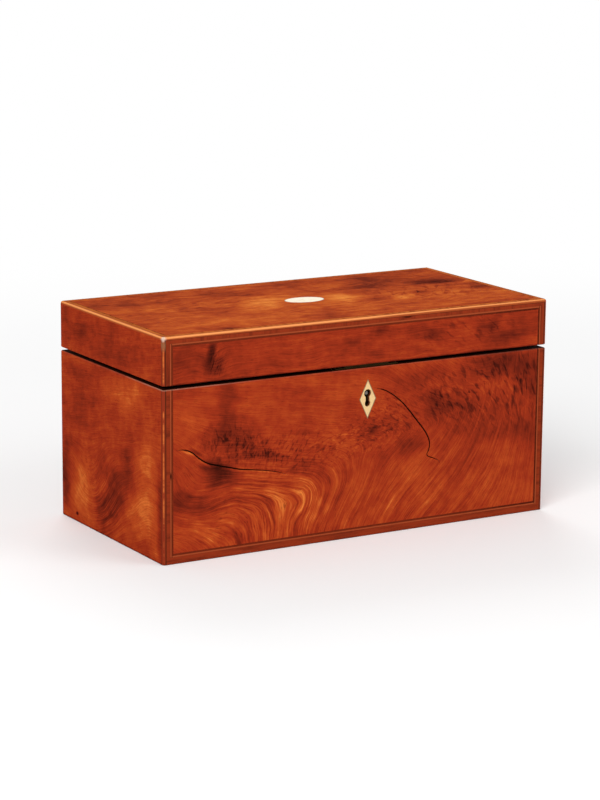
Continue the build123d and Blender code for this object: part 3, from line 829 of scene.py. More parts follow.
def band_finish(settings, name, clean, face, run, gloss, frame_node=None):
    """Crossbanding with its grain across the run, and a dark outer joint round a frame."""
    finish = Finish(name, *face)
    along = getattr(finish, run)
    stripes = finish.noise(finish.point(along * 0.3, finish.u * 0.03, finish.v * 0.03), 3.0)
    fine = finish.noise(finish.point(along * 2.4, finish.u * 0.2, finish.v * 0.2), 1.0)
    amount = (stripes * 2.2 + fine).rise(-0.3, 0.8)
    shown = finish.mix(clean, settings.band_dark, amount)
    if frame_node is None:
        finish.set(Specular_IOR_Level=gloss)
    else:
        joint = frame_depth(finish, frame_node).rise(0.5, 0.15, 0.0, 0.75)
        shown = finish.mix(shown, settings.grime, joint)
        chip = finish.mound(*CHIP)
        shown = finish.mix(shown, settings.ebony, chip.capped())
        shown = with_rim(finish, shown, front_depth(finish), gloss)
    finish.bump(fine, 0.03)
    return finish.set(Base_Color=shown, Roughness=fine * 0.1 + 0.42)


def edge_distance(finish):
    """How far a place on the outside of the case is from the top edge, round its arris."""
    front = span("back_veneer", "y")[1] - abs(finish.y)
    inward = finish.math("MINIMUM", side_depth(finish), front)
    return inward + (span("lid_top_strings", "z")[1] - finish.z)


def line_joints(finish):
    """Dirt along both edges of the light line, on the body and on the lid."""
    for node in ("front_light_line", "lid_front_light_line"):
        joint = abs(frame_depth(finish, node) - LINE_HALF)
        yield joint.rise(0.3, 0.6, 0.0, 0.7) * joint.rise(1.2, 1.0)


def corner_joints(finish):
    """Dirt where a corner string meets its neighbours."""
    outer = finish.math("MAXIMUM", side_depth(finish), front_depth(finish))
    yield outer.rise(1.5, 2.0, 0.0, 0.9)


def string_finish(name, clean, worn, wear, gloss, dirt_and_painted_light_on=None, joints=None, spots=()):
    """Boxwood string, rubbed dark along its length, with dirty joints and spots of colour."""
    finish = Finish(name)
    along = finish.x + finish.y + finish.z
    dirt = finish.noise(finish.point(along * 0.07, along * 0.015, wear), 4.0, 0.65)
    fine = finish.noise(finish.point(along * 0.6, finish.x * 0.7, finish.z * 0.3), 2.0)
    amount = (dirt * 1.8 + fine * 0.8).rise(0.45 - wear, 1.0 - wear)
    # The callable adds dirt, painted highlight and painted shade for the corner and top strings.
    if dirt_and_painted_light_on is not None:
        amount = finish.math("MAXIMUM", amount, dirt_and_painted_light_on(finish))
    shown = finish.mix(clean, worn, amount)
    for amount in joints(finish) if joints else ():
        shown = finish.mix(shown, bpy.context.scene.tea_caddy.inlay.grime, amount)
    for place, reach, spot in spots:
        shown = finish.mix(shown, spot, finish.near(*place, reach))
    face = finish.math("MINIMUM", front_depth(finish), side_depth(finish))
    shown = with_rim(finish, shown, face, gloss)
    finish.bump(fine, 0.02)
    return finish.set(Base_Color=shown, Roughness=dirt * 0.2 + 0.42)


def corner_highlight_and_dirt(finish):
    """A corner string keeps its clean colour, a painted highlight, only along its rounded edge,
    and is dark near the rim and the foot.
    """
    patches = finish.noise(finish.point(finish.z * 0.12, 5.0, 0.0), 4.0, 0.7)
    arris = side_depth(finish) + front_depth(finish)
    # Painted highlight: the clean colour is kept only along the rounded edge.
    edge = arris.rise(1.2, 1.42) + patches.rise(-0.06, 0.12, 0.0, 0.85)
    edge = edge + front_depth(finish).rise(0.5, 0.9, 0.0, 0.85) * side_depth(finish).rise(0.8, 0.5)
    rim = seam_places()[0]
    band = finish.z.rise(rim - 16.0, rim - 13.0) * finish.z.rise(rim + 3.0, rim)
    foot = finish.z.rise(34.0, 22.0, 0.0, 0.7)
    return (edge + band + foot).capped()


def top_highlight_and_shade(finish):
    """The top string keeps its clean colour, a painted highlight, along its edge; it is dark on
    its faces, and painted shade darkens it at the back and right.
    """
    top = span("lid_top_strings", "z")[1]
    face = finish.z.rise(top - 0.4, top - 0.8)
    front_right = finish.x.rise(0.0, 30.0, 0.0, 0.7) * front_depth(finish).rise(0.6, 0.3) * face
    left = finish.x.rise(-152.0, -152.3, 0.0, 0.35) * face
    # Painted shade at the back and right.
    far = finish.math("MAXIMUM", finish.y.rise(75.2, 76.0), finish.x.rise(150.8, 151.6))
    worn = edge_distance(finish).rise(1.12, 1.5) + front_right + left + far
    return worn.capped()


def ebony_finish(settings):
    """A black line, faded to brown, least towards the right."""
    finish = Finish("dark_line")
    fine = finish.grained(0.3, 0.3, 0.3, 3.0)
    shown = finish.mix(settings.ebony, settings.band_dark, fine.rise(-0.05, 0.25))
    shown = finish.mix(shown, settings.line_worn, finish.x.rise(145.0, 60.0, 0.0, 0.4))
    shown = with_rim(finish, shown, front_depth(finish), FRONT_GLOSS)
    return finish.set(Base_Color=shown, Roughness=fine * 0.2 + 0.45)


def top_line_finish(settings):
    """The line round the top, worn light, with dark flecks left in it."""
    finish = Finish("top_line")
    flecks = finish.noise(finish.point(finish.x * 0.22, finish.y * 0.22, 0.0), 3.0, 0.6)
    dark = flecks.rise(0.04, 0.16) + finish.x.rise(-146.0, -147.0, 0.0, 0.6)
    shown = finish.mix(TOP_LINE, settings.ebony, dark)
    roughness = flecks * 0.2 + 0.45
    return finish.set(Base_Color=shown, Roughness=roughness, Specular_IOR_Level=TOP_GLOSS)


def bone_finish(settings, name, bone, rim=None):
    """Bone, with fine lines in it and grime where rim says so."""
    finish = Finish(name)
    streaks = finish.grained(0.25, 0.25, 1.6, 3.0)
    base = finish.mix(bone, BONE_STREAK, streaks.rise(-0.1, 0.6, 0.0, 0.7))
    if rim is not None:
        base = finish.mix(base, settings.grime, rim(finish))
    roughness = streaks * 0.15 + 0.35
    return finish.set(Base_Color=base, Roughness=roughness, Specular_IOR_Level=0.1)


def off_middle(finish, node, axis):
    """Nought at the middle of a node and one at its ends."""
    low, high = span(node, axis)
    return abs(getattr(finish, axis) - (low + high) / 2) * (2 / (high - low))


def diamond_rim(finish):
    """Grime along the edge of the diamond."""
    out = off_middle(finish, "escutcheon", "x") + off_middle(finish, "escutcheon", "z")
    return out.rise(0.86, 0.97, 0.0, 0.8)


def oval_rim(finish):
    """Grime along the edge of the oval plaque."""
    across = off_middle(finish, "lid_plaque", "x")
    along = off_middle(finish, "lid_plaque", "y")
    return (across * across + along * along).rise(0.86, 0.98, 0.0, 0.7)


# Wood inside

BEHIND_VENEER = 1.2  # from the front, a little inside the board behind the front veneer


def board_finish(settings, name, run, lightness=0.0, gloss=SIDE_GLOSS):
    """Plain mahogany with its grain along one axis."""
    finish = Finish(name)
    bands = finish.grained(*[0.018 if axis == run else 0.32 for axis in "xyz"], 4.0, 0.6, 0.4)
    pores = finish.grained(*[0.09 if axis == run else 2.6 for axis in "xyz"])
    amount = (bands * 1.5 + pores * 0.6 - lightness).rise(-0.5, 0.75)
    shown = finish.mix(settings.plain, settings.plain_dark, amount)
    # Dirt and painted shade on the board behind the veneer, where it shows through the cracks.
    behind_cracks = front_depth(finish).rise(BEHIND_VENEER + 0.1, BEHIND_VENEER - 0.1)
    shown = finish.mix(shown, CRACK_DIRT_AND_SHADE, behind_cracks)
    shown = with_rim(finish, shown, None, gloss)
    finish.bump(pores, 0.06)
    return finish.set(Base_Color=shown, Roughness=pores * 0.15 + 0.5)


# Metal, glass and cloth

KEYHOLE_DARK = linear(14, 8, 5)  # painted shade on the metal behind the keyhole


def metal_finish(name, clean, dull, roughness, relief, front_edge=None):
    """Worn metal, with painted shade, black, near a front edge where one is given."""
    finish = Finish(name)
    blooms = finish.grained(0.3, 0.3, 0.3, 4.0)
    scratches = finish.grained(0.4, 6.0, 6.0)
    shown = finish.mix(clean, dull, (blooms * 1.8 + scratches * 0.5).rise(-0.3, 0.8))
    if front_edge is not None:
        # Painted shade: the lock's plates turn black towards the front, where they show through
        # the keyhole.
        dirt = finish.y.rise(front_edge + 2.4, front_edge + 0.6, 0.0, 0.97)
        shown = finish.mix(shown, KEYHOLE_DARK, dirt)
    finish.bump(blooms * 0.5 + scratches, relief)
    roughness = blooms * 0.3 + scratches * 0.15 + roughness
    return finish.set(Base_Color=shown, Metallic=1.0, Roughness=roughness)


def glass_finish(settings):
    """Clear old glass, slightly rippled and scratched."""
    finish = Finish("cut_glass")
    ripple = finish.grained(0.05, 0.05, 0.05, 1.0)
    wear = finish.grained(0.6, 0.6, 0.6, 3.0)
    finish.bump(ripple, 0.1)
    return finish.set(
        Base_Color=(*settings.tint, 1.0),
        Roughness=wear.rise(0.1, 0.4, 0.01, 0.08),
        IOR=1.5,
        Transmission_Weight=1.0,
        Alpha=0.55,
    )


def baize_finish(settings, name, across, up):
    """Woven wool with a raised nap, faded in patches."""
    finish = Finish(name, across, up)
    u, v = finish.u, finish.v
    weave = finish.math("SINE", u * 7.0) + finish.math("SINE", v * 7.0)
    nap = finish.noise(finish.point(u * 2.2, v * 2.2, 0.0), 3.0, 0.7)
    faded = finish.clouds(26.0, 5.0, 3.0) * 1.6 + nap * 1.2
    shown = finish.mix(settings.baize, settings.baize_faded, faded.rise(-0.4, 0.9))
    finish.bump(weave * 0.2 + nap, 0.12)
    finish.set(Sheen_Weight=0.4, Specular_IOR_Level=0.1)
    return finish.set(Base_Color=shown, Roughness=nap * 0.2 + 0.9)


# Making pieces


def dress(node, material):
    """Gives a node of the frame its finish."""
    mesh = frame["nodes"][node].data
    mesh.materials.clear()
    mesh.materials.append(material)


def smooth_edges(mesh, degrees):
    """Smooth shading, except over edges sharper than an angle."""
    mesh.polygons.foreach_set("use_smooth", [True] * len(mesh.polygons))
    mesh.set_sharp_from_angle(angle=math.radians(degrees))


def new_piece(name, mesh, material, slot, *replaced):
    """A finished piece that rides on the body of the nodes it stands for."""
    mesh.name = name
    mesh.materials.clear()
    mesh.materials.append(material)
    piece = bpy.data.objects.new(name, mesh)
    bpy.context.scene.collection.objects.link(piece)
    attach(piece, body_of(replaced[0]))
    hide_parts(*replaced)
    return piece


MERGE = 1e-7  # vertices nearer than this are one, in metres


def mesh_from(shape):
    """The mesh of a bmesh that is then freed."""
    mesh = bpy.data.meshes.new("shape")
    shape.to_mesh(mesh)
    shape.free()
    return mesh


def spun(profile, sides):
    """A mesh turned about the Z axis from (radius, height) places, in millimetres."""
    shape = bmesh.new()
    verts = [shape.verts.new((r * MM, 0.0, z * MM)) for r, z in profile]
    edges = [shape.edges.new(pair) for pair in zip(verts, verts[1:])]
    bmesh.ops.spin(
        shape,
        geom=verts + edges,
        cent=(0, 0, 0),
        axis=(0, 0, 1),
        angle=2 * math.pi,
        steps=sides,
        use_merge=True,
    )
    bmesh.ops.remove_doubles(shape, verts=shape.verts, dist=MERGE)
    bmesh.ops.recalc_face_normals(shape, faces=shape.faces)
    return mesh_from(shape)


def carved(mesh, cutter):
    """A mesh with the space of another taken out of it."""
    piece = bpy.data.objects.new("carved", mesh)
    tool = bpy.data.objects.new("cutter", cutter)
    for made in (piece, tool):
        bpy.context.scene.collection.objects.link(made)
    cut = piece.modifiers.new("cut", "BOOLEAN")
    cut.operation = "DIFFERENCE"
    cut.solver = "EXACT"
    cut.object = tool
    evaluated = piece.evaluated_get(bpy.context.evaluated_depsgraph_get())
    result = bpy.data.meshes.new_from_object(evaluated)
    for made in (piece, tool):
        bpy.data.objects.remove(made)
    return result


def islands(node):
    """The lowest and highest corners of each separate solid of a node, from left to right."""
    shape = bmesh.new()
    shape.from_mesh(frame["nodes"][node].data)
    bmesh.ops.remove_doubles(shape, verts=shape.verts, dist=10 * MERGE)
    waiting = set(shape.verts)
    found = []
    while waiting:
        group = [waiting.pop()]
        for vert in group:
            near = {e.other_vert(vert) for e in vert.link_edges} & waiting
            waiting -= near
            group.extend(near)
        corners = [Vector(pick(v.co[i] for v in group) for i in range(3)) for pick in (min, max)]
        found.append(corners)
    shape.free()
    return sorted(found, key=lambda corners: tuple(corners[0]))


# Front veneer, cracked in two places. A crack is a route of (across, up) places.

LEFT_CRACK = [
    (-143.5, 77.0),
    (-137.0, 76.6),
    (-131.0, 74.2),
    (-126.0, 70.0),
    (-120.0, 66.0),
    (-112.0, 63.3),
    (-103.0, 60.9),
    (-95.0, 58.8),
    (-85.0, 57.2),
    (-74.0, 55.4),
    (-65.0, 53.2),
    (-57.0, 50.4),
]
RIGHT_CRACK = [
    (9.8, 102.9),
    (16.0, 101.8),
    (23.0, 98.4),
    (31.0, 92.4),
    (38.0, 85.2),
    (44.0, 78.0),
    (49.5, 71.4),
    (53.6, 65.4),
    (55.6, 59.6),
    (55.0, 55.0),
    (53.7, 51.4),
    (56.0, 49.9),
    (60.0, 48.2),
    (63.6, 46.0),
    (65.0, 42.4),
]
CRACK_BLUNTNESS = 0.35  # nought for a slot of even width, one for a long spindle
CRACK_TAPER = 0.6  # the share of the width that is lost by the far end
RIM_CHAMFER = 0.5  # off the veneer's top edge


def slit(route, width):
    """The closed outline of a crack: out along one side of its route and back on the other."""
    points = [Vector(p) for p in route]
    last = len(points) - 1
    sides = [[], []]
    for i, point in enumerate(points[1:-1], 1):
        along = (points[i + 1] - points[i - 1]).normalized()
        done = i / last
        spindle = math.sin(math.pi * done) ** CRACK_BLUNTNESS
        half = width / 2 * spindle * (1.0 - CRACK_TAPER * done**3)
        offset = Vector((-along.y, along.x)) * half
        sides[0].append(point + offset)
        sides[1].append(point - offset)
    return [points[0], *sides[0], points[-1], *reversed(sides[1])]


def add_outline(curve, points, smooth):
    """A closed outline in a flat curve, straight, or smooth apart from its two tips."""
    spline = curve.splines.new("BEZIER")
    spline.bezier_points.add(len(points) - 1)
    tip = len(points) // 2
    for knot, point in zip(spline.bezier_points, points):
        knot.co = (point[0] * MM, point[1] * MM, 0.0)
        knot.handle_left_type = knot.handle_right_type = "AUTO" if smooth else "VECTOR"
        if smooth and point in (points[0], points[tip]):
            knot.handle_left_type = knot.handle_right_type = "VECTOR"
    spline.use_cyclic_u = True
    spline.resolution_u = 5 if smooth else 1


def cracked_veneer(crack_width):
    """The front veneer as one sheet, with the diamond cut out and the cracks open."""
    x0, x1 = span("front_veneer", "x")
    y0, y1 = span("front_veneer", "y")
    z0, z1 = span("front_veneer", "z")
    dx0, dx1 = span("escutcheon", "x")
    dz0, dz1 = span("escutcheon", "z")
    dx, dz = middle("escutcheon", "x"), middle("escutcheon", "z")
    curve = bpy.data.curves.new("veneer_outline", "CURVE")
    curve.dimensions = "2D"
    curve.fill_mode = "BOTH"
    curve.extrude = (y1 - y0) / 2 * MM
    add_outline(curve, [(x0, z0), (x1, z0), (x1, z1), (x0, z1)], False)
    add_outline(curve, [(dx0, dz), (dx, dz0), (dx1, dz), (dx, dz1)], False)
    for route in (LEFT_CRACK, RIGHT_CRACK):
        add_outline(curve, slit(route, crack_width), True)
    holder = bpy.data.objects.new("veneer_outline", curve)
    mesh = bpy.data.meshes.new_from_object(holder)
    bpy.data.objects.remove(holder)
    mesh.transform(Matrix.Rotation(math.radians(90), 4, "X"))
    mesh.transform(Matrix.Translation((0, (y0 + y1) / 2 * MM, 0)))
    shape = bmesh.new()
    shape.from_mesh(mesh)
    bmesh.ops.remove_doubles(shape, verts=shape.verts, dist=MERGE)
    cut = bmesh.ops.bisect_plane(
        shape,
        geom=shape.verts[:] + shape.edges[:] + shape.faces[:],
        dist=MERGE,
        plane_co=(0, y0 * MM, (z1 - RIM_CHAMFER) * MM),
        plane_no=(0, -1, 1),
        clear_outer=True,
    )
    edges = [e for e in cut["geom_cut"] if isinstance(e, bmesh.types.BMEdge)]
    bmesh.ops.edgenet_fill(shape, edges=edges)
    bmesh.ops.recalc_face_normals(shape, faces=shape.faces)
    return mesh_from(shape)


class TEACADDY_OT_veneers(bpy.types.Operator):
    """Lay the figured veneers, the front one with its two cracks"""

    bl_idname = "teacaddy.veneers"
    bl_label = "Veneers"

    def execute(self, context):
        wood = context.scene.tea_caddy.wood
        mesh = cracked_veneer(context.scene.tea_caddy.cracks.width / MM)
        front = front_finish(wood)
        new_piece("cracked_front_veneer", mesh, front, "flame_mahogany", "front_veneer")
        dress("lid_front_veneer", lid_front_finish(wood))
        dress("lid_top_veneer", top_finish(wood))
        walls = {
            "left": side_finish(wood, "left_mahogany", 31.0),
            "right": side_finish(wood, "right_mahogany", 47.0),
            "back": back_finish(wood),
        }
        for wall, finish in walls.items():
            dress(f"{wall}_veneer", finish)
            dress(f"lid_{wall}_veneer", finish)
        return {"FINISHED"}


class TEACADDY_OT_inlay(bpy.types.Operator):
    """Finish the strings, lines, bands, escutcheon and plaque"""

    bl_idname = "teacaddy.inlay"
    bl_label = "Inlay"

    def execute(self, context):
        settings = context.scene.tea_caddy.inlay
        for node, run in (("front_crossband", "z"), ("lid_front_crossband", "x")):
            band = band_finish(settings, node, settings.band, "xz", run, FRONT_GLOSS, node)
            dress(node, band)
        band = band_finish(settings, "top_band", settings.top_band, "xy", "x", TOP_GLOSS)
        dress("lid_top_crossband", band)
        line_x = span("front_light_line", "x")[0] + LINE_HALF
        burn = ((line_x, span("front_veneer", "y")[0], 60.0), 3.8, BURN)
        tones = (settings.line, settings.line_worn, 0.1, FRONT_GLOSS)
        light = string_finish("light_line", *tones, None, line_joints, [burn])
        for node in ("front_light_line", "lid_front_light_line"):
            dress(node, light)
        x, y, z = (span("lid_top_strings", axis)[end] for axis, end in zip("xyz", (0, 0, 1)))
        scuffs = [((x, y, z - 5.5), 5.5, SCUFF_EDGE), ((x, y, z - 1.5), 2.5, SCUFFED)]
        tones = (settings.corner, settings.corner_worn, 0.0, FRONT_GLOSS, corner_highlight_and_dirt)
        corner = string_finish("corner_string", *tones, corner_joints)
        dress("front_corner_strings", corner)
        corner = string_finish("lid_corner_string", *tones, corner_joints, scuffs)
        dress("lid_corner_strings", corner)
        tones = (settings.boxwood, settings.boxwood_worn_and_shaded, -0.05, SIDE_GLOSS, top_highlight_and_shade)
        top = string_finish("top_string", *tones, None, [((x, y, z), 4.0, SCUFFED)])
        dress("lid_top_strings", top)
        dark = ebony_finish(settings)
        for node in ("front_dark_line", "lid_front_dark_line"):
            dress(node, dark)
        dress("lid_top_dark_line", top_line_finish(settings))
        dress("escutcheon", bone_finish(settings, "escutcheon", settings.bone_aged, diamond_rim))
        dress("lid_plaque", bone_finish(settings, "plaque", settings.bone, oval_rim))
        return {"FINISHED"}


class TEACADDY_OT_boards(bpy.types.Operator):
    """Finish the walls, boards, partitions, ledges and covers"""

    bl_idname = "teacaddy.boards"
    bl_label = "Boards"

    def execute(self, context):
        settings = context.scene.tea_caddy.wood
        along_x = board_finish(settings, "board_along_x", "x")
        along_y = board_finish(settings, "board_along_y", "y")
        cover = board_finish(settings, "cover_mahogany", "y", 0.15, 0.1)
        for node in ("body_front", "body_back", "lid_front", "lid_back"):
            dress(node, along_x)
        for node in ("bottom_board", "lid_top_board", "cover_ledges"):
            dress(node, along_x)
        for node in ("body_left", "body_right", "lid_left", "lid_right"):
            dress(node, along_y)
        for node in ("partition_left", "partition_right"):
            dress(node, along_y)
        for node in ("well_collar", "cover_left", "cover_right"):
            dress(node, cover)
        return {"FINISHED"}


class TEACADDY_OT_metalwork(bpy.types.Operator):
    """Finish the hinges, the lock and the foil linings"""

    bl_idname = "teacaddy.metalwork"
    bl_label = "Metalwork"

    def execute(self, context):
        settings = context.scene.tea_caddy.fittings
        brass_tones = (settings.brass, settings.brass_tarnish)
        brass = metal_finish("brass", *brass_tones, 0.3, 0.03)
        iron = metal_finish("iron", settings.iron, settings.iron_rust, 0.42, 0.05)
        foil = metal_finish("lead_foil", settings.foil, settings.iron_rust, 0.45, 0.3)
        for side in ("left", "right"):
            dress(f"hinge_{side}_body_leaf", brass)
            dress(f"hinge_{side}_lid_leaf", brass)
            dress(f"hinge_{side}_pin", iron)
            dress(f"foil_lining_{side}", foil)
        plates = ("lock_plate", "link_plate")
        front_edge = max(span(plate, "y")[0] for plate in plates)
        lock_brass = metal_finish("lock_brass", *brass_tones, 0.35, 0.03, front_edge)
        for plate in plates:
            dress(plate, lock_brass)
        for node in ("lock_case", "lock_bolt", "lock_key_pin"):
            dress(node, iron)
        return {"FINISHED"}


# How each group of screws faces, and the turn of each slot in degrees. The lock's screws face up
# where they are taller than deep, and otherwise back.
SCREW_GROUPS = {
    "hinge_body_screws": ((0, 0, 1), (20, 95, 60, 140)),
    "hinge_lid_screws": ((0, 0, -1), (75, 10, 120, 40)),
    "link_screws": ((0, 0, -1), (35, 110)),
    "lock_screws": (None, (15, 80, 50, 125)),
}
SHANK_SHARE = 0.53  # of the head's radius


def slotted_screw(low, high, facing, settings):
    """A screw that fills the space of one solid, its head facing a direction, slot along X."""
    size = (high - low) / MM
    tip = abs(size.dot(facing))
    head = max(size[i] for i in range(3) if not round(facing[i])) / 2
    shank = head * SHANK_SHARE
    profile = [
        (0.0, 0.0),
        (head - 0.12, 0.0),
        (head, -0.1),
        (shank, -0.9),
        (shank, 0.8 - tip),
        (0.0, -tip),
    ]
    mesh = spun(profile, settings.sides)
    cutter = bmesh.new()
    bmesh.ops.create_cube(cutter, size=1.0)
    slot = (4 * head * MM, settings.slot_width, 2 * settings.slot_depth)
    bmesh.ops.scale(cutter, vec=slot, verts=cutter.verts)
    return carved(mesh, mesh_from(cutter))


class TEACADDY_OT_screws(bpy.types.Operator):
    """Drive slotted screws where the plain ones are"""

    bl_idname = "teacaddy.screws"
    bl_label = "Screws"

    def execute(self, context):
        settings = context.scene.tea_caddy
        fittings = settings.fittings
        steel = metal_finish("screw_steel", fittings.iron, fittings.iron_rust, 0.35, 0.02)
        for node, (facing, turns) in SCREW_GROUPS.items():
            group = bmesh.new()
            for (low, high), turn in zip(islands(node), turns):
                size = high - low
                toward = Vector(facing or ((0, 0, 1) if size.z > size.y else (0, 1, 0)))
                mesh = slotted_screw(low, high, toward, settings.screws)
                centre = (low + high) / 2
                head = centre + toward * abs(size.dot(toward)) / 2
                spin = Matrix.Rotation(math.radians(turn), 4, "Z")
                aim = toward.to_track_quat("Z", "Y").to_matrix().to_4x4()
                mesh.transform(Matrix.Translation(head) @ aim @ spin)
                group.from_mesh(mesh)
                bpy.data.meshes.remove(mesh)
            mesh = mesh_from(group)
            smooth_edges(mesh, 40)
            new_piece("slotted_" + node, mesh, steel, "iron", node)
        return {"FINISHED"}


class TEACADDY_OT_knobs(bpy.types.Operator):
    """Turn the two bone knobs of the covers"""

    bl_idname = "teacaddy.knobs"
    bl_label = "Knobs"

    def execute(self, context):
        settings = context.scene.tea_caddy
        bone = bone_finish(settings.inlay, "knob_bone", settings.inlay.bone)
        for side in ("left", "right"):
            node = "knob_" + side
            cover_top = span("cover_" + side, "z")[1]
            x0, x1 = span(node, "x")
            z0, z1 = span(node, "z")
            radius = (x1 - x0) / 2
            height = z1 - cover_top
            profile = [(0.0, z0 - cover_top), (1.5, z0 - cover_top), (1.5, 0.0), (radius, 0.0)]
            profile += [(radius, 0.7), (radius - 0.3, 1.15), (radius - 0.9, 1.3)]
            profile += [(2.5, 1.7), (2.05, 2.3), (1.9, 3.1), (2.05, 3.7), (2.5, 4.3)]
            profile += [(3.5, 5.0), (4.05, 5.7), (radius, 6.4), (4.1, 7.1), (3.7, 7.9)]
            profile += [(3.0, 8.7), (2.0, 9.3), (1.3, 9.5), (0.9, 9.45)]
            profile += [(0.8, 9.7), (0.45, height), (0.0, height)]
            mesh = spun(profile, settings.knobs.sides)
            place = (middle(node, "x") * MM, middle(node, "y") * MM, cover_top * MM)
            mesh.transform(Matrix.Translation(place))
            smooth_edges(mesh, 50)
            new_piece("turned_" + node, mesh, bone, "bone", node)
        return {"FINISHED"}


FOOT_SHARE = 31 / 46  # the foot's radius of the rim's, as in the solid
ROUND = 96  # facets of a hollow that looks round


class TEACADDY_OT_bowl(bpy.types.Operator):
    """Cut the glass bowl, flat panels outside and round inside"""

    bl_idname = "teacaddy.bowl"
    bl_label = "Bowl"

    def execute(self, context):
        settings = context.scene.tea_caddy.bowl
        z0, z1 = span("bowl", "z")
        rim = span("bowl", "x")[1] - 0.1
        foot = rim * FOOT_SHARE
        height = z1 - z0
        wall, floor = settings.wall / MM, settings.floor / MM
        flat = math.cos(math.pi / settings.panels)
        glass = bmesh.new()
        bmesh.ops.create_cone(
            glass,
            cap_ends=True,
            segments=settings.panels,
            radius1=foot * MM,
            radius2=rim * MM,
            depth=height * MM,
        )
        half_turn = Matrix.Rotation(math.pi / settings.panels, 3, "Z")
        bmesh.ops.rotate(glass, verts=glass.verts, cent=(0, 0, 0), matrix=half_turn)
        bmesh.ops.translate(glass, verts=glass.verts, vec=(0, 0, height / 2 * MM))
        bmesh.ops.bevel(
            glass,
            geom=glass.edges[:],
            affect="EDGES",
            offset=settings.arris,
            segments=3,
            profile=0.5,
            material=-1,
        )
        lean = (rim - foot) * flat / height
        in_top = rim * flat - wall + lean
        in_floor = foot * flat + lean * floor - wall
        hollow = [
            (0.0, floor),
            (in_floor - 8.0, floor),
            (in_floor - 3.5, floor + 0.9),
            (in_floor - 1.0, floor + 3.2),
            (in_floor + 0.3, floor + 7.0),
            (in_top - 1.2, height - 1.5),
            (in_top - 0.7, height - 0.5),
            (in_top + 0.1, height),
            (in_top + 0.1, height + 5.0),
            (0.0, height + 5.0),
        ]
        mesh = carved(mesh_from(glass), spun(hollow, ROUND))
        kick = [(0.0, -5.0), (foot * flat - 6.0, -5.0), (foot * flat - 6.6, 0.0)]
        kick += [(foot * flat - 9.0, 1.3), (foot * flat - 14.0, 2.0), (0.0, 2.0)]
        mesh = carved(mesh, spun(kick, ROUND))
        mesh.transform(Matrix.Translation((0, 0, z0 * MM)))
        smooth_edges(mesh, 24)
        new_piece("cut_bowl", mesh, glass_finish(settings), "cut_glass", "bowl")
        return {"FINISHED"}


CLOTH_INSET = 0.3 * MM  # from the sides of the space that it fills
CLOTH_WAVES = 0.12 * MM  # how far its soft side rises and falls
CLOTH_EDGE = 0.04  # the share of its half width over which the edge thins


def cloth(node, thickness, top_side):
    """A sheet of baize in the space of a node: flat on its glued side, soft on the other."""
    x0, x1 = (place * MM for place in span(node, "x"))
    y0, y1 = (place * MM for place in span(node, "y"))
    z0, z1 = (place * MM for place in span(node, "z"))
    shape = bmesh.new()
    bmesh.ops.create_grid(shape, x_segments=90, y_segments=60, size=0.5)
    width, depth = x1 - x0 - 2 * CLOTH_INSET, y1 - y0 - 2 * CLOTH_INSET
    bmesh.ops.scale(shape, vec=(width, depth, 1), verts=shape.verts)
    middle_place = ((x0 + x1) / 2, (y0 + y1) / 2, z0 if top_side else z1)
    bmesh.ops.translate(shape, verts=shape.verts, vec=middle_place)
    faces = bmesh.ops.extrude_face_region(shape, geom=shape.faces[:])["geom"]
    raised = [v for v in faces if isinstance(v, bmesh.types.BMVert)]
    side = 1 if top_side else -1
    for vert in raised:
        across = (vert.co.x - x0) / (x1 - x0)
        along = (vert.co.y - y0) / (y1 - y0)
        edge = min(across, 1 - across, along, 1 - along) * 2
        wave = math.sin(across * 19 + math.sin(along * 7) * 2) * math.sin(along * 13 + across * 5)
        soft = min(1.0, edge / CLOTH_EDGE)
        dip = CLOTH_WAVES * (0.5 + 0.5 * wave) * soft
        vert.co.z += side * (thickness * (0.72 + 0.28 * soft) - dip)
    bmesh.ops.recalc_face_normals(shape, faces=shape.faces)
    mesh = mesh_from(shape)
    smooth_edges(mesh, 50)
    return mesh, (width, depth)


class TEACADDY_OT_baize(bpy.types.Operator):
    """Lay baize in the well and inside the lid"""

    bl_idname = "teacaddy.baize"
    bl_label = "Baize"

    def execute(self, context):
        settings = context.scene.tea_caddy.fittings
        wool = baize_finish(settings, "green_baize", "x", "y")
        mesh, cut = cloth("well_baize", 0.95 * MM, True)
        sheet = new_piece("well_cloth", mesh, wool, "green_baize", "well_baize")
        mesh, cut = cloth("lid_lining", 0.75 * MM, False)
        sheet = new_piece("lid_cloth", mesh, wool, "green_baize", "lid_lining")
        return {"FINISHED"}


# Stage

WHITE = (1.0, 1.0, 1.0, 1.0)
PAPER = (0.86, 0.86, 0.86, 1.0)
FLOOR_RADIUS = 12.0
FLOOR_FADE = 1500.0  # millimetres to where the floor is as white as the background
FLOOR_LIFT = 0.12  # light of its own that the floor shows to the camera
LAMP_SIZE = 1.2
LAMP_AIM = (0.0, 0.0, 0.07)


def white_for_rays(tree):
    """One where a ray comes from the camera, a reflection or glass, and otherwise nought."""
    path = tree.nodes.new("ShaderNodeLightPath")
    total = path.outputs["Is Camera Ray"]
    for name in ("Is Glossy Ray", "Is Transmission Ray"):
        either = tree.nodes.new("ShaderNodeMath")
        either.operation = "MAXIMUM"
        tree.links.new(total, either.inputs[0])
        tree.links.new(path.outputs[name], either.inputs[1])
        total = either.outputs[0]
    return total


def make_world(ambient):
    """Even light from all sides in front of a white background."""
    world = bpy.data.worlds.new("studio")
    world.use_nodes = True
    tree = world.node_tree
    background = tree.nodes["Background"]
    background.inputs["Color"].default_value = WHITE
    strength = tree.nodes.new("ShaderNodeMapRange")
    strength.inputs["To Min"].default_value = ambient
    strength.inputs["To Max"].default_value = 1.0
    tree.links.new(white_for_rays(tree), strength.inputs["Value"])
    tree.links.new(strength.outputs[0], background.inputs["Strength"])
    bpy.context.scene.world = world


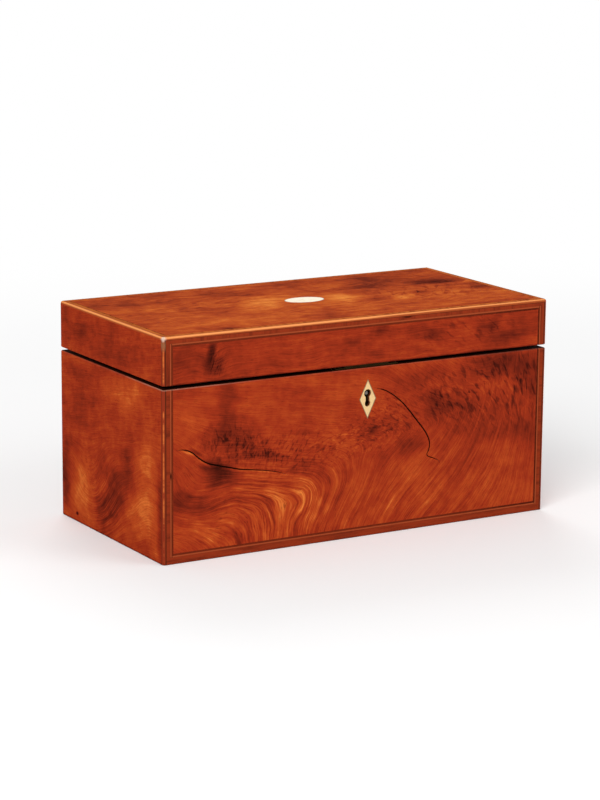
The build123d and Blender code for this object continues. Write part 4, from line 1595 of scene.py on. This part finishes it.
def make_floor():
    """A white floor that keeps the shadow and turns to the background's white further out."""
    shape = bmesh.new()
    bmesh.ops.create_circle(shape, cap_ends=True, segments=64, radius=FLOOR_RADIUS)
    bmesh.ops.translate(shape, verts=shape.verts, vec=(0, 0, -0.1 * MM))
    bmesh.ops.recalc_face_normals(shape, faces=shape.faces)
    finish = Finish("white_floor", "x", "y")
    finish.set(Base_Color=PAPER, Roughness=1.0, Specular_IOR_Level=0.0)
    tree = finish.tree
    seen = Value(finish, white_for_rays(tree))
    nearness = finish.near(0.0, 0.0, 0.0, FLOOR_FADE)
    glow = finish.node("ShaderNodeEmission")
    glow.inputs["Color"].default_value = WHITE
    lift = finish.node("ShaderNodeEmission")
    finish.feed(lift.inputs["Strength"], seen * FLOOR_LIFT)
    near_floor = finish.node("ShaderNodeAddShader")
    tree.links.new(finish.shader.outputs[0], near_floor.inputs[0])
    tree.links.new(lift.outputs[0], near_floor.inputs[1])
    blend = finish.node("ShaderNodeMixShader")
    finish.feed(blend.inputs["Fac"], seen * nearness.rise(0.7, 0.1))
    tree.links.new(near_floor.outputs[0], blend.inputs[1])
    tree.links.new(glow.outputs[0], blend.inputs[2])
    tree.links.new(blend.outputs[0], tree.nodes["Material Output"].inputs["Surface"])
    mesh = mesh_from(shape)
    mesh.materials.append(finish.material)
    floor = bpy.data.objects.new("floor", mesh)
    bpy.context.scene.collection.objects.link(floor)


def make_lamp(name, place, power):
    """A square soft lamp aimed at the middle of the caddy."""
    lamp = bpy.data.lights.new(name, "AREA")
    lamp.shape = "SQUARE"
    lamp.size = LAMP_SIZE
    lamp.energy = power
    holder = bpy.data.objects.new(name, lamp)
    holder.location = place
    aim = Vector(LAMP_AIM) - Vector(place)
    holder.rotation_euler = aim.to_track_quat("-Z", "Y").to_euler()
    bpy.context.scene.collection.objects.link(holder)


class TEACADDY_OT_stage(bpy.types.Operator):
    """Set up the camera, the floor and the lamps"""

    bl_idname = "teacaddy.stage"
    bl_label = "Stage"

    def execute(self, context):
        settings = context.scene.tea_caddy.stage
        camera = bpy.data.cameras.new("camera")
        camera.lens = settings.focal_length
        camera.sensor_width = 36.0
        holder = bpy.data.objects.new("camera", camera)
        place = Vector(settings.camera_place)
        holder.location = place
        aim = (Vector(settings.camera_aim) - place).to_track_quat("-Z", "Y")
        lean = Quaternion((0.0, 0.0, 1.0), settings.roll)
        holder.rotation_euler = (aim @ lean).to_euler()
        context.scene.collection.objects.link(holder)
        context.scene.camera = holder
        context.scene.view_settings.view_transform = "Standard"
        make_world(settings.ambient)
        make_floor()
        make_lamp("key", (-1.5, -1.3, 1.5), 36.0)
        make_lamp("fill", (1.2, -1.5, 1.2), 12.0)
        make_lamp("back", (0.6, 1.8, 1.5), 16.0)
        return {"FINISHED"}


OPERATORS = (
    TEACADDY_OT_veneers,
    TEACADDY_OT_inlay,
    TEACADDY_OT_boards,
    TEACADDY_OT_metalwork,
    TEACADDY_OT_screws,
    TEACADDY_OT_knobs,
    TEACADDY_OT_bowl,
    TEACADDY_OT_baize,
    TEACADDY_OT_stage,
)


class TEACADDY_PT_panel(bpy.types.Panel):
    """The steps that dress the tea caddy"""

    bl_idname = "TEACADDY_PT_panel"
    bl_label = "Tea Caddy"
    bl_space_type = "VIEW_3D"
    bl_region_type = "UI"
    bl_category = "Tea Caddy"

    def draw(self, context):
        for operator in OPERATORS:
            self.layout.operator(operator.bl_idname, text=operator.bl_label)


GROUPS = (
    WoodSettings,
    InlaySettings,
    FittingSettings,
    CrackSettings,
    ScrewSettings,
    KnobSettings,
    BowlSettings,
    StageSettings,
    TeaCaddySettings,
)


def register():
    for made in (*GROUPS, *OPERATORS, TEACADDY_PT_panel):
        bpy.utils.register_class(made)
    bpy.types.Scene.tea_caddy = PointerProperty(
        name="Tea caddy", description="Settings of the tea caddy", type=TeaCaddySettings
    )


def unregister():
    del bpy.types.Scene.tea_caddy
    for made in reversed((*GROUPS, *OPERATORS, TEACADDY_PT_panel)):
        bpy.utils.unregister_class(made)


def main():
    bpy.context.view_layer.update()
    register()
    bpy.ops.teacaddy.veneers()
    bpy.ops.teacaddy.inlay()
    bpy.ops.teacaddy.boards()
    bpy.ops.teacaddy.metalwork()
    bpy.ops.teacaddy.screws()
    bpy.ops.teacaddy.knobs()
    bpy.ops.teacaddy.bowl()
    bpy.ops.teacaddy.baize()
    bpy.ops.teacaddy.stage()
    bpy.context.view_layer.update()


if __name__ == "__main__":
    main()
